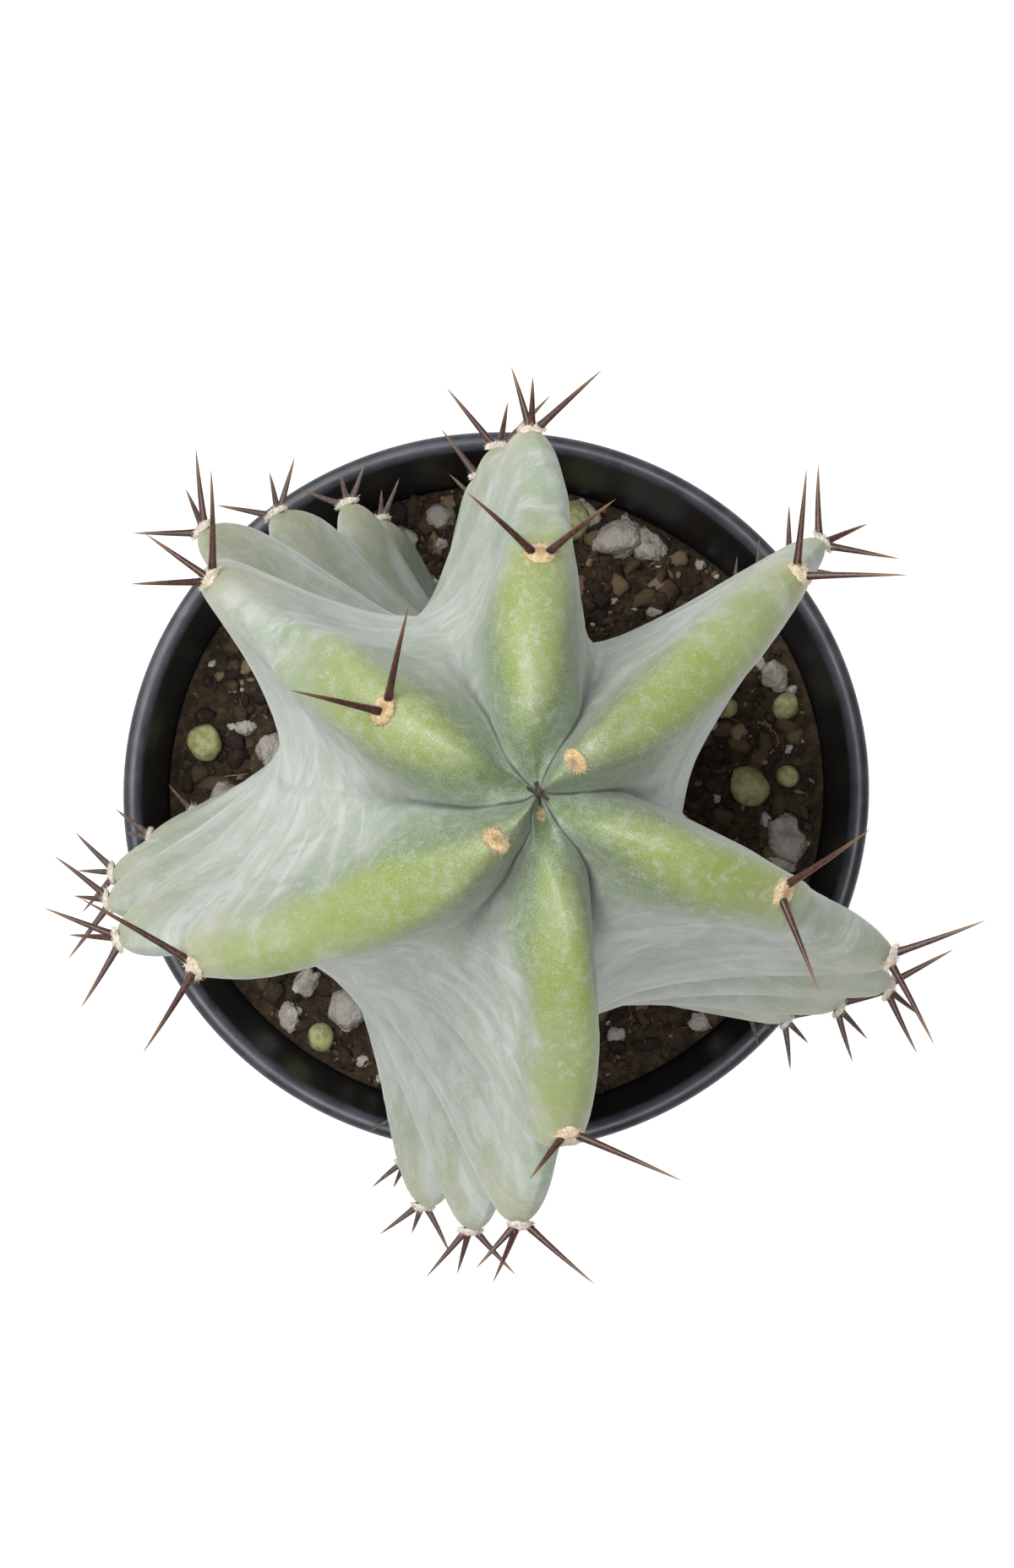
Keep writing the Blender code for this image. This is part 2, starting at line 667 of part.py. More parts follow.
def build_cactus():
    bm = bmesh.new()
    shares = np.linspace(0, 1, STEM_ROWS) ** TIP_CROWDING
    places = [place_at_arc(arc) for arc in ARCS[0] + (ARCS[-1] - ARCS[0]) * shares]
    rings = [stem_ring(place) for place in places]
    last = rings[-1]
    rings += [foot_ring(last, radius, height) for radius, height in FOOT_RINGS]
    loft(bm, rings)
    cactus = make_object("cactus", bm, make_material("cactus_skin", (0.36, 0.47, 0.36), 0.6))
    chance = random.Random(SEED + 1)
    extras = []
    for rib, plan in enumerate(RIBS):
        for index, arc in enumerate(plan["areoles"]):
            position, outward, azimuth = areole_frame(rib, arc)
            age = (arc > BARE_ARC) + (arc > YOUNG_ARC)
            extras.append(areole_pad(position, outward, PAD_RADII[age]))
            for swing, lift, length in spine_set(chance, rib, index, position[2]):
                flat = radial(azimuth + swing) * math.cos(math.radians(lift))
                direction = flat + np.array((0.0, 0.0, math.sin(math.radians(lift))))
                root = position + outward * 0.2 + np.cross((0, 0, 1), radial(azimuth)) * swing / 60.0
                extras.append(spine(root, direction, length))
    join_all(cactus, extras, "areoles")
    return cactus


for old in list(bpy.data.objects):
    bpy.data.objects.remove(old)
build_pot()
build_soil()
build_cactus()
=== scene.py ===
"""Looks of the potted organ pipe cactus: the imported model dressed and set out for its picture.

Lengths are in millimetres until a mesh is made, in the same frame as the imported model: +Z up,
the origin in the middle of the pot's underside. Azimuths are degrees, anticlockwise from +X.
"""

import functools
import math
import random
from types import SimpleNamespace

import bmesh
import bpy
import numpy as np
from mathutils import Matrix, Vector, noise


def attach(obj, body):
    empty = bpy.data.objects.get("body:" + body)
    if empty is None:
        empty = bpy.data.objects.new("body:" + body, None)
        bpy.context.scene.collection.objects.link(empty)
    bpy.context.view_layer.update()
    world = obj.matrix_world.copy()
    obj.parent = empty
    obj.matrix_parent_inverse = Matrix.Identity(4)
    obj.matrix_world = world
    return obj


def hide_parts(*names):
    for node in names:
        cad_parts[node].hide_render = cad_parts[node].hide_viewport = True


METRE = 0.001
SEEDS = {"spine_plan": 42, "spine_shape": 43, "felt": 44, "crumbs": 46, "perlite": 47,
         "pellets": 48, "strands": 49}

# Photograph: size of its frame, focal length in its pixels, and where the lens hangs.
FRAME_HEIGHT_PX = 1855
FOCAL_PX = 4166.0
SENSOR_HEIGHT = 36.0
CAMERA_PLACE = (1.6, 1.25, 612.0)
CLIP_RANGE = (0.01, 50.0)

# Pot: round at the foot, pulled slightly oval at the rim.
POT_HEIGHT = 92.0
RIM_RADIUS = 54.3
RIM_OVAL = 0.018
RIM_OVAL_AZIMUTH = 6.5
LIP_WIDTH = 2.8
LIP_HEIGHT = 3.4
LIP_CROWN = 1.5
LIP_STEPS = 12
BAND_DROP = 15.0
BAND_STEP = 1.0
WALL = 1.2
FOOT_RADIUS = 40.0
FOOT_RING_WIDTH = 4.5
CENTRE_DISC_RADIUS = 15.0
CHANNEL_RISE = 2.0
DRAIN_COUNT = 6
DRAIN_RADIUS = 3.6
DRAIN_DEPTH = 8
DRAIN_SIDES = 32
SHARP_ANGLE = 40
POT_SIDES = 192
SOIL_LEVEL = 75.0

# Stem: one meridian along the crest of a rib and one along a furrow, as (radius, height).
CREST_LINE = (
    (0.5, 217.9), (7.0, 223.0), (14.0, 222.5), (22.0, 219.5), (31.0, 214.0), (39.0, 207.0),
    (45.0, 198.0), (49.0, 188.0), (51.5, 176.0), (53.0, 163.0), (53.0, 150.0), (52.5, 137.0),
    (51.0, 122.0), (48.5, 107.0), (45.5, 94.0), (42.5, 85.5), (40.5, 80.5),
)
FURROW_LINE = (
    (0.4, 215.0), (4.5, 217.0), (8.5, 215.4), (12.5, 211.4), (16.5, 205.2), (20.0, 197.0),
    (23.0, 187.0), (25.0, 176.0), (26.3, 164.0), (27.0, 152.0), (27.2, 140.0), (27.2, 128.0),
    (27.0, 116.0), (26.8, 105.0), (26.4, 94.0), (26.0, 86.5), (25.9, 81.5),
)

# Arc lengths run down the crest from the growing tip; the middle line bows by height.
ARC_START = 0.6
ARC_SAMPLES = 600
ARC_STATIONS = (3.0, 8.0, 14.0, 24.0, 45.0, 78.0, 105.0, 130.0, 170.0)
AXIS_HEIGHTS = (75.0, 130.0, 150.0, 178.0, 200.0, 211.0, 214.5)
AXIS_X = (-1.0, -2.5, -1.0, 1.0, 3.0, 4.1, 5.2)
AXIS_Y = (-3.0, -5.5, -5.0, -3.0, -0.8, -0.35, 0.25)
NORMAL_STEP = 0.05
FURROW_FADE = 5

# Each rib: its azimuth at the arc stations, its reach there against the common crest line, where
# its areoles sit along its crest, how far it rises beside the growing tip, and where its deepest
# notch lies on the way from one areole (0) to the next one down (1).
RIBS = (
    {"azimuth": (100, 98, 94, 91, 86.5, 90, 91, 89, 87),
     "reach": (1, 1, 1, 1, 1.02, 0.9, 0.88, 0.88, 0.92),
     "areoles": (30, 57, 82, 107, 131, 153), "rise": -2.3, "notch": 0.3},
    {"azimuth": (151, 152, 152.5, 152, 147, 138, 125, 112, 107),
     "reach": (1, 1, 1, 1, 1, 1.01, 0.95, 0.95, 0.98),
     "areoles": (22, 56, 83, 108, 131, 153), "rise": -2.3, "notch": 0.6},
    {"azimuth": (236, 228, 223, 216.5, 208.5, 197.5, 190, 185.5, 179),
     "reach": (1, 1, 1, 1, 1.04, 0.97, 0.95, 0.97, 0.98),
     "areoles": (9, 50, 78, 103, 126, 148, 166), "rise": 1.7, "notch": 0.3},
    {"azimuth": (277, 278, 281, 281, 277, 270.5, 265.5, 259, 254),
     "reach": (1, 1, 1, 1, 1.03, 0.99, 0.97, 0.98, 1),
     "areoles": (44, 71, 97, 121, 143, 163), "rise": -2.3, "notch": 0.3},
    {"azimuth": (322, 330, 336, 338, 338, 338, 335, 329, 323),
     "reach": (1, 1, 1, 1, 1.04, 1.03, 0.99, 0.98, 1),
     "areoles": (33, 60, 86, 110, 133, 155), "rise": -2.3, "notch": 0.3},
    {"azimuth": (403, 401, 398, 398, 399.5, 401, 401, 401, 401),
     "reach": (1, 1, 1, 1.01, 1.05, 1.01, 0.97, 0.97, 0.97),
     "areoles": (7, 46, 74, 100, 124, 146, 165), "rise": 1.8, "notch": 0.3},
)

# Each furrow, after the rib of the same place: its swing off the middle line at the arc
# stations, in degrees, and its radius against the common furrow line.
FURROWS = (
    {"swing": (18, 11, 4, -2, -4, -3, 0, 0, 0), "scale": 1.08},
    {"swing": (16.5, 7, 5, -2, -2.5, 0, 0, 0, 0), "scale": 1.08},
    {"swing": (-12, 4, -2, -1, -1, -6, -5, -3, 0), "scale": 1.03},
    {"swing": (0, -3, -4, -8, -13, -11, -8, -6, -4), "scale": 1.04},
    {"swing": (-6, -6, -5, -7, -10, -6, -3, 0, 0), "scale": 0.90},
    {"swing": (0, -2, -4, -4, -2, -2, 0, 0, 0), "scale": 0.98},
)

# Section of a rib from crest to furrow: share of the ridge's own half width, share of the
# remaining way to the furrow, and share of the rib's height.
FLANK = (
    (0.0, 0.0, 1.0), (0.55, 0.0, 0.975), (0.92, 0.03, 0.89), (1.0, 0.15, 0.71), (1.0, 0.36, 0.44),
    (1.0, 0.67, 0.16), (1.0, 1.0, 0.0),
)

# The ridge's half width along the arc, the most of the way to the furrow it may take, how far it
# narrows at an areole and over what reach, and how much narrower the flanks are behind a notch.
RIDGE_ARCS = (8.0, 16.0, 32.0, 50.0, 75.0)
RIDGE_HALF_WIDTHS = (3.4, 4.5, 4.2, 3.3, 2.9)
RIDGE_ROOM = 0.7
RIDGE_PINCH = 0.2
PINCH_REACH = 6.5
GROOVE_SHARE = 0.42

# Growing tip: how far the rise reaches down a rib, the blunt end of the ribs that rise, and the
# pit in the middle.
RISE_REACH = 14.0
BLUNT_RISE = 1.8
BLUNT_REACH = 4.5
BLUNT_DROP = 4.5
BLUNT_EDGE = 0.8
BLUNT_SQUARING = 0.3
PIT_DEPTH = 0.8

# Ribs are full pillows at the tip and thin fins lower down, notched deeper with age.
LOBE_START = 10.0
LOBE_END = 44.0
LOBE_FULLNESS = 0.7
BUMP_YOUNG = 1.6
BUMP_OLD = 7.6
BUMP_GROWTH = (20.0, 80.0)
BUMP_SPREAD = 0.7
NOTCH_SHARPNESS = 1.4
ABOVE_FIRST_AREOLE = 60.0
BELOW_LAST_AREOLE = 24.0

# Soft folds sweep down from the ridge to the furrow; each rib reads its own stretch of noise.
FOLD_SLOPE = 16.0
FOLD_SWEEP = 1.5
FOLD_DEPTH = 0.55
FOLD_PITCH = 3.4
FOLD_EDGE = 2.5
FOLD_START = 20.0
FOLD_FADE = 40.0
FOLD_STRIDE = 400.0
NOISE_STRIDE = 7.3
NOISE_SLICE = 1.7

# New growth fades out from just above a rib's first grown areole, or above YOUTH_START if later.
YOUTH_START = 30.0
YOUTH_LEAD = 6.0
YOUTH_FADE = 24.0

# The stem's mesh, and its foot: (radius, height) of the rings down to the buried end.
STEM_ROWS = 230
FLANK_COLUMNS = 20
TIP_CROWDING = 1.12
CREST_CROWDING = 1.1
FOOT_RINGS = ((36.0, 78.0), (29.5, 76.5), (25.4, 75.4), (24.8, 73.5), (20.5, 61.0), (14.0, 53.0))

# Potting mix: it lies lower towards the far wall, between the two distances of DIP_REACH.
GAP = 0.3
HOLE_CLEARANCE = 0.5
SOIL_ROUGHNESS = 0.7
WAVE_SHARE = 0.4
SOIL_GRIT = 0.55
SOIL_SETTLING = 0.35
SOIL_DIP = 8.0
DIP_REACH = (20.0, 46.0)
SOIL_RINGS = 64
EDGE_BLEND = 12
WALL_CLEARANCE = 1.25
GRAIN_FLOOR = SOIL_LEVEL - SOIL_DIP - 4.0

# Loose grains: how many, how far from the middle, their radii, how far each is stretched along,
# across and up, how broken its surface is, and how high its middle lies for its size. A pair is
# a pair of limits.
CRUMBS = {"count": 420, "reach": (27.5, 47.5), "size": (0.7, 1.7), "rough": 0.55, "lift": 0.15,
          "stretch": ((0.9, 1.7), (0.7, 1.1), (0.6, 0.9))}
DUST = {"count": 2200, "reach": (27.0, 49.2), "size": (0.18, 0.6), "rough": 0.5, "lift": 0.3,
        "stretch": ((0.8, 2.2), (0.7, 1.1), (0.6, 1.0))}
BITS = {"count": 90, "reach": (29.0, 49.0), "size": (0.25, 1.1), "rough": 0.4, "lift": 0.3,
        "stretch": ((0.9, 1.3), (0.8, 1.0), 0.8)}
LUMPS = {"rough": 0.38, "lift": 0.3, "stretch": ((0.95, 1.3), (0.75, 1.0), 0.75)}
BEADS = {"rough": 0.13, "lift": 0.45, "stretch": (1.0, 0.92, 0.8)}
STRANDS = {"count": 46, "reach": (29.0, 47.0), "bend": (-0.5, 0.5), "width": (0.07, 0.16),
           "step": (0.7, 1.4), "stray": (-0.25, 0.25), "points": 7, "lift": 0.35}
STRAND_LIMIT = 48.5

# Lumps of perlite and round pellets where the photograph shows them, by (x, y, radius).
PERLITE = (
    (-14.3, 38.5, 2.6), (-8.6, 42.4, 2.3), (20.1, 41.5, 3.6), (24.2, 38.6, 2.6), (14.0, 42.6, 2.2),
    (43.0, 17.9, 2.2), (46.8, -7.6, 3.4), (43.4, -10.8, 2.0), (-34.1, 6.0, 2.4), (-41.7, -1.0, 2.2),
    (-22.6, -33.2, 3.0), (-29.0, -29.0, 2.0), (-38.4, 9.8, 1.6), (-36.8, 25.8, 1.5),
    (-31.6, -34.2, 1.7), (18.2, -37.0, 1.6), (31.0, -35.0, 1.4), (37.8, 24.6, 1.5),
)
PELLETS = (
    (-46.2, 7.9, 2.9), (38.4, 0.9, 3.2), (12.4, 45.0, 3.3), (45.0, 13.4, 2.2), (-26.8, -37.4, 2.2),
    (35.4, 12.8, 1.5), (44.4, 2.4, 1.8),
)

# Felt pads: radii from the tip down, then the cushion's form and its coat of fibres. The tuft at
# the growing tip is given by rib, arc and radius.
PAD_RADII = (1.5, 1.75, 1.6)
PAD_HEIGHT = 0.8
PAD_OVAL = 0.74
PAD_SPREAD = 1.12
PAD_BODY = 0.88
PAD_RINGS = 9
PAD_SIDES = 20
PAD_WRAP = 0.62
COAT_WRAP = 0.6
COAT_DEPTH = 0.85
FIBRES_PER_PAD = 640
FIBRE_WIDTH = 0.028
FIBRE_STRAY = 0.75
FIBRE_SHAFT = (0.08, 0.22)
FIBRE_END = (0.04, 0.13)
TIP_TUFT = (3, 2.0, 0.95)
TUFT_AGE = 0.1
OLDEST_ARC = 170.0

# Spines: shares of the length with the thickness there, the first in millimetres under the skin;
# how they seat in the pad; and how the lower ones spread and shrink with age.
NEEDLE = (
    (-1.2, 0.95), (0.0, 1.0), (0.05, 0.97), (0.12, 0.86), (0.25, 0.76), (0.45, 0.62), (0.65, 0.46),
    (0.82, 0.29), (0.94, 0.12), (1.0, 0.01),
)
SPINE_RADIUS = 0.52
SPINE_SIDES = 10
SPINE_FLUTES = 0.06
SPINE_BOW = 0.012
SPINE_SEAT = 0.2
SEAT_SPREAD = 60.0
POINT_CLEARANCE = 0.05
GROWN_SPINES = ((-45, 6, 1.0), (44, 6, 1.0), (-16, -22, 0.75))
LOW_SPINES = ((-48, 14, 5.0), (46, 14, 5.0))
SPINE_LENGTH = 9.5
AGED_LOSS = 3.5
AGED_REACH = 80.0
SWING_STRAY = 8
LIFT_STRAY = 7
LENGTH_SPREAD = (0.88, 1.1)
BARE_ARC = 12.0
YOUNG_ARC = 40.0
GROWN_ARC = 65.0
LOW_HEIGHT = 100.0

# Spines of the upper areoles, by rib and areole: (swing off the rib, lift above level, length).
UPPER_SPINES = {
    (0, 0): ((50, 32, 11.5), (-53, 32, 11.0)),
    (0, 1): ((19, 10, 7.5), (1, 30, 6.5), (-47, 20, 10.5)),
    (1, 0): ((-76, 32, 12.5), (15, 32, 12.0)),
    (1, 1): ((-55, 20, 12.5), (39, 20, 9.0), (1, 0, 9.0)),
    (2, 1): ((-58, 15, 15.0), (32, 20, 11.5)),
    (3, 0): ((61, 20, 13.5), (-47, 25, 6.5)),
    (3, 1): ((48, 10, 11.0), (-44, 0, 7.0), (-24, -20, 8.5)),
    (4, 0): ((58, 30, 12.5), (-48, 25, 12.0)),
    (4, 1): ((43, 15, 11.5), (-41, 15, 11.0)),
    (5, 1): ((46, 15, 11.5), (-40, 15, 12.0)),
}

# Colours, as linear red, green and blue.
BRIGHT_GREEN = (0.235, 0.300, 0.062)
LIGHT_GREEN = (0.265, 0.330, 0.120)
DEEP_GREEN = (0.150, 0.215, 0.110)
DARK_GREEN = (0.120, 0.168, 0.118)
# Painted shade: a dark green laid into the tight creases near the growing tip.
CREASE_SHADE = (0.055, 0.074, 0.055)
YOUNG_BLOOM = (0.300, 0.360, 0.300)
TIP_GREEN = (0.200, 0.270, 0.150)
BLOOM_WHITE = (0.56, 0.575, 0.56)
BLOOM_PALE = (0.470, 0.495, 0.468)
BLOOM_BLUE = (0.398, 0.428, 0.408)
BLOOM_GREEN = (0.260, 0.330, 0.225)
WET_GREEN = (0.165, 0.225, 0.155)
RIDGE_TAN = (0.40, 0.365, 0.21)
PIT_BROWN = (0.050, 0.034, 0.020)
WAX_WHITE = (0.60, 0.64, 0.50)
FELT_ORANGE = (0.52, 0.35, 0.14)
FELT_CREAM = (0.70, 0.57, 0.33)
FELT_GREY = (0.55, 0.48, 0.40)
FELT_WHITE = (0.82, 0.76, 0.66)
FELT_CORE = (0.34, 0.19, 0.08)
SPINE_DARK = (0.034, 0.017, 0.014)
SPINE_RED = (0.105, 0.042, 0.030)
SPINE_GOLD = (0.21, 0.115, 0.05)
SPINE_ROOT = (0.018, 0.011, 0.010)
SPINE_GREY = (0.15, 0.125, 0.11)
PLASTIC_BLACK = (0.011, 0.012, 0.015)
PLASTIC_DUSTY = (0.022, 0.023, 0.028)
# Lip's top: a lighter blue-grey for dust and a painted sheen.
LIP_DUST_AND_SHEEN = (0.066, 0.070, 0.088)
PLASTIC_SCUFF = (0.048, 0.050, 0.058)
PEAT_DARK = (0.022, 0.014, 0.010)
PEAT_BROWN = (0.072, 0.050, 0.026)
PEAT_TAN = (0.23, 0.16, 0.095)
PEAT_MOSS = (0.085, 0.088, 0.030)
PERLITE_WHITE = (0.40, 0.375, 0.34)
PERLITE_STAIN = (0.22, 0.185, 0.145)
PERLITE_PIT = (0.16, 0.14, 0.115)
PELLET_GREEN = (0.24, 0.25, 0.10)
PELLET_YELLOW = (0.46, 0.46, 0.22)
FIBRE_BROWN = (0.085, 0.048, 0.028)
FIBRE_TAN = (0.31, 0.22, 0.13)
WHITE = (1.0, 1.0, 1.0)
FLOOR_GREY = (0.35, 0.35, 0.35)

# How far light of each colour goes into the skin, in metres.
SKIN_DEPTH = (0.004, 0.006, 0.003)

# Lights: name, place and disk size in metres, watts, colour.
LIGHTS = (
    ("key", (-0.95, 0.8, 1.8), 1.2, 30.0, (1.0, 0.99, 0.97)),
    ("top", (-0.2, -0.12, 2.4), 1.2, 43.0, (1.0, 1.0, 1.0)),
)
LIGHT_AIM = (0.0, 0.0, 0.12)
WORLD_STRENGTH = 0.06
FLOOR_HALF_WIDTH = 3.0
FLOOR_GLOW = 0.85


def catmull(points, places):
    """Smooth curve through points at an array of places from 0 to len(points) - 1."""
    points = np.array(points, float)
    last = len(points) - 1
    index = np.clip(places.astype(int), 0, last - 1)
    part = (places - index)[..., None]
    before = points[np.maximum(index - 1, 0)]
    start = points[index]
    end = points[index + 1]
    after = points[np.minimum(index + 2, last)]
    slope_in = (end - before) / 2
    slope_out = (after - start) / 2
    square = part * part
    cube = square * part
    return ((2 * cube - 3 * square + 1) * start + (cube - 2 * square + part) * slope_in
            + (3 * square - 2 * cube) * end + (cube - square) * slope_out)


def smooth_step(value):
    value = np.clip(value, 0.0, 1.0)
    return value * value * (3 - 2 * value)


def arc_table():
    """Arc length along the crest line at even places, with the places."""
    places = np.linspace(0, len(CREST_LINE) - 1, ARC_SAMPLES)
    lengths = np.hypot(*np.diff(catmull(CREST_LINE, places), axis=0).T)
    arcs = ARC_START + np.concatenate(([0.0], np.cumsum(lengths)))
    return arcs, places


ARCS, PLACES = arc_table()


def axis_at(heights):
    """The stem's bowed middle line, at height 0."""
    heights = np.asarray(heights, float)
    x = np.interp(heights, AXIS_HEIGHTS, AXIS_X)
    y = np.interp(heights, AXIS_HEIGHTS, AXIS_Y)
    return np.stack((x, y, np.zeros_like(x)), axis=-1)


def radial(azimuths):
    angles = np.radians(np.asarray(azimuths, float))
    return np.stack((np.cos(angles), np.sin(angles), np.zeros_like(angles)), axis=-1)


def rib_azimuth(rib, arcs):
    return np.interp(arcs, ARC_STATIONS, RIBS[rib]["azimuth"])


def furrow_azimuth(furrow, arcs):
    here = rib_azimuth(furrow, arcs)
    following = rib_azimuth((furrow + 1) % len(RIBS), arcs)
    following = np.where(following < here, following + 360.0, following)
    swing = np.interp(arcs, ARC_STATIONS, FURROWS[furrow]["swing"])
    return (here + following) / 2 + swing


def bump_phase(rib, arcs):
    """How far each arc lies from one areole (0) to the next one down (1), and the span in mm."""
    areoles = RIBS[rib]["areoles"]
    stops = np.array((areoles[0] - ABOVE_FIRST_AREOLE, *areoles, areoles[-1] + BELOW_LAST_AREOLE))
    index = np.clip(np.searchsorted(stops, arcs, side="right") - 1, 0, len(stops) - 2)
    span = stops[index + 1] - stops[index]
    return np.clip((arcs - stops[index]) / span, 0.0, 1.0), span


def bump_height(rib, arcs):
    """Depth below the crest line: none at an areole, deepest at the notch between two."""
    phase, _span = bump_phase(rib, arcs)
    growth = smooth_step((arcs - BUMP_GROWTH[0]) / (BUMP_GROWTH[1] - BUMP_GROWTH[0]))
    size = BUMP_YOUNG + (BUMP_OLD - BUMP_YOUNG) * growth
    notch = RIBS[rib]["notch"]
    falling = smooth_step(phase / notch) ** NOTCH_SHARPNESS
    rising = smooth_step((1 - phase) / (1 - notch)) ** NOTCH_SHARPNESS
    return -size * np.where(phase < notch, falling, rising)


def areole_distance(rib, arcs):
    phase, span = bump_phase(rib, arcs)
    return np.minimum(phase, 1 - phase) * span


def crest_base(rib, places):
    """Point and outward normal of a rib's crest in its own (radius, height) plane."""
    low = catmull(CREST_LINE, np.maximum(places - NORMAL_STEP, 0.0))
    high = catmull(CREST_LINE, np.minimum(places + NORMAL_STEP, len(CREST_LINE) - 1))
    run = high - low
    normal = np.stack((-run[..., 1], run[..., 0]), axis=-1)
    normal /= np.linalg.norm(normal, axis=-1, keepdims=True)
    point = catmull(CREST_LINE, places)
    arcs = np.interp(places, PLACES, ARCS)
    point[..., 0] *= np.interp(arcs, ARC_STATIONS, RIBS[rib]["reach"])
    rise = RIBS[rib]["rise"]
    point[..., 1] += rise * np.exp(-(arcs / RISE_REACH) ** 2)
    if rise > 0:
        point[..., 1] += BLUNT_RISE * np.exp(-(arcs / BLUNT_REACH) ** 2)
        point[..., 1] -= BLUNT_DROP * np.exp(-((arcs - ARCS[0]) / BLUNT_EDGE) ** 2)
    return point, normal


def furrow_points(furrow, places):
    point = catmull(FURROW_LINE, places)
    scale = 1 + (FURROWS[furrow]["scale"] - 1) * smooth_step(places / FURROW_FADE)
    azimuth = furrow_azimuth(furrow, np.interp(places, PLACES, ARCS))
    position = radial(azimuth) * (point[..., 0] * scale)[..., None] + axis_at(point[..., 1])
    position[..., 2] = point[..., 1]
    return position


def soft_folds(rib, fold_arcs):
    """Uneven shallow waves that run from the ridge down to the furrow."""
    values = [noise.noise(Vector((arc / FOLD_PITCH, NOISE_STRIDE * rib, NOISE_SLICE)))
              for arc in fold_arcs.ravel()]
    return np.array(values).reshape(fold_arcs.shape)


def ridge_width(rib, arcs, fold_arcs, room):
    """Half width of the ridge, which an areole narrows, within the room up to the furrow."""
    width = np.interp(arcs, RIDGE_ARCS, RIDGE_HALF_WIDTHS)
    pinch = 1 - RIDGE_PINCH * np.exp(-(areole_distance(rib, fold_arcs) / PINCH_REACH) ** 2)
    return np.minimum(width, RIDGE_ROOM * room) * pinch


def rib_section(rib, steps, arcs, fold_arcs, room):
    """Way across and share of the rib's height at each point, and how much of a lobe it is."""
    shares = catmull(FLANK, steps * (len(FLANK) - 1))
    ridge, rest, height = shares[..., 0], shares[..., 1], shares[..., 2]
    width = ridge_width(rib, arcs, fold_arcs, room)
    fin_across = width * ridge + (room - width) * rest
    lobe = 1 - smooth_step((arcs - LOBE_START) / (LOBE_END - LOBE_START))
    lobe_across = room * np.sin(steps * math.pi / 2)
    blunt = (RIBS[rib]["rise"] > 0) * (1 - smooth_step(arcs / BLUNT_REACH / 2))
    fullness = LOBE_FULLNESS - BLUNT_SQUARING * blunt
    lobe_height = np.clip(np.cos(steps * math.pi / 2), 0, 1) ** fullness
    sideways = lobe * lobe_across + (1 - lobe) * fin_across
    share = np.clip(lobe * lobe_height + (1 - lobe) * height, 0, 1)
    return sideways, share, lobe


def rib_traits(rib, side, steps, arcs, fold_arcs, share):
    """What the skin's material reads at each surface point."""
    first = next(arc for arc in RIBS[rib]["areoles"] if arc > BARE_ARC)
    youth = 1 - smooth_step((arcs - max(first, YOUTH_START) + YOUTH_LEAD) / YOUTH_FADE)
    return {"arc": arcs, "share": share, "fold": fold_arcs + FOLD_STRIDE * rib, "youth": youth,
            "near": areole_distance(rib, arcs), "side": side * steps}


def rib_surface(rib, side, steps, places):
    """A grid of surface points, rows down the stem and columns from crest to furrow."""
    places = places[:, None] + 0 * steps[None, :]
    steps = steps[None, :] + 0 * places
    arcs = np.interp(places, PLACES, ARCS)
    fold_arcs = arcs - FOLD_SLOPE * steps ** FOLD_SWEEP
    point, normal = crest_base(rib, places)
    out = radial(rib_azimuth(rib, arcs))
    across = np.stack((-out[..., 1], out[..., 0], 0 * out[..., 0]), axis=-1) * side
    middle = axis_at(point[..., 1])
    furrow = furrow_points(rib if side > 0 else rib - 1, places) - middle
    furrow_out = (furrow * out).sum(-1)
    furrow_across = (furrow * across).sum(-1)
    sideways, share, lobe = rib_section(rib, steps, arcs, fold_arcs, furrow_across)
    dip = bump_height(rib, fold_arcs)
    groove = (1 - lobe) * GROOVE_SHARE * dip / BUMP_OLD * 4 * steps * (1 - steps)
    sideways = sideways * (1 + groove)
    flank = smooth_step(share * FOLD_EDGE) * smooth_step((1 - share) * FOLD_EDGE)
    flank = flank * smooth_step((arcs - FOLD_START) / FOLD_FADE)
    sideways = sideways + FOLD_DEPTH * flank * soft_folds(rib, fold_arcs)
    bump = dip * share ** BUMP_SPREAD
    outward = furrow_out + (point[..., 0] - furrow_out) * share + bump * normal[..., 0]
    level = furrow[..., 2] + (point[..., 1] - furrow[..., 2]) * share + bump * normal[..., 1]
    position = middle + out * outward[..., None] + across * sideways[..., None]
    position[..., 2] = level
    return position, rib_traits(rib, side, steps, arcs, fold_arcs, share)


def make_piece(name, vertices, faces, material, **traits):
    """A visible piece that rides on the object's one body, with values for its material."""
    mesh = bpy.data.meshes.new(name)
    mesh.from_pydata((np.asarray(vertices, float) * METRE).tolist(), [], faces)
    mesh.update()
    for key, values in traits.items():
        layer = mesh.attributes.new(key, "FLOAT", "POINT")
        layer.data.foreach_set("value", np.asarray(values, np.float32).ravel())
    mesh.materials.append(material)
    mesh.shade_smooth()
    item = bpy.data.objects.new(name, mesh)
    bpy.context.scene.collection.objects.link(item)
    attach(item, "root")
    return item


def grid_faces(rows, columns, start=0):
    """Quads between closed rings of vertices, wound to face out where the rings run down."""
    faces = []
    for row in range(rows - 1):
        upper = start + row * columns
        lower = upper + columns
        for column in range(columns):
            following = (column + 1) % columns
            faces.append((upper + column, lower + column, lower + following, upper + following))
    return faces


def cap(start, count):
    """A flat face over one ring of vertices."""
    return tuple(range(start, start + count))


def tube_faces(rows, columns, start=0):
    """Quads between closed rings, with a face over the first ring and over the last."""
    last = start + (rows - 1) * columns
    return [*grid_faces(rows, columns, start), cap(start, columns), cap(last, columns)[::-1]]


def turned_over(faces):
    return [face[::-1] for face in faces]


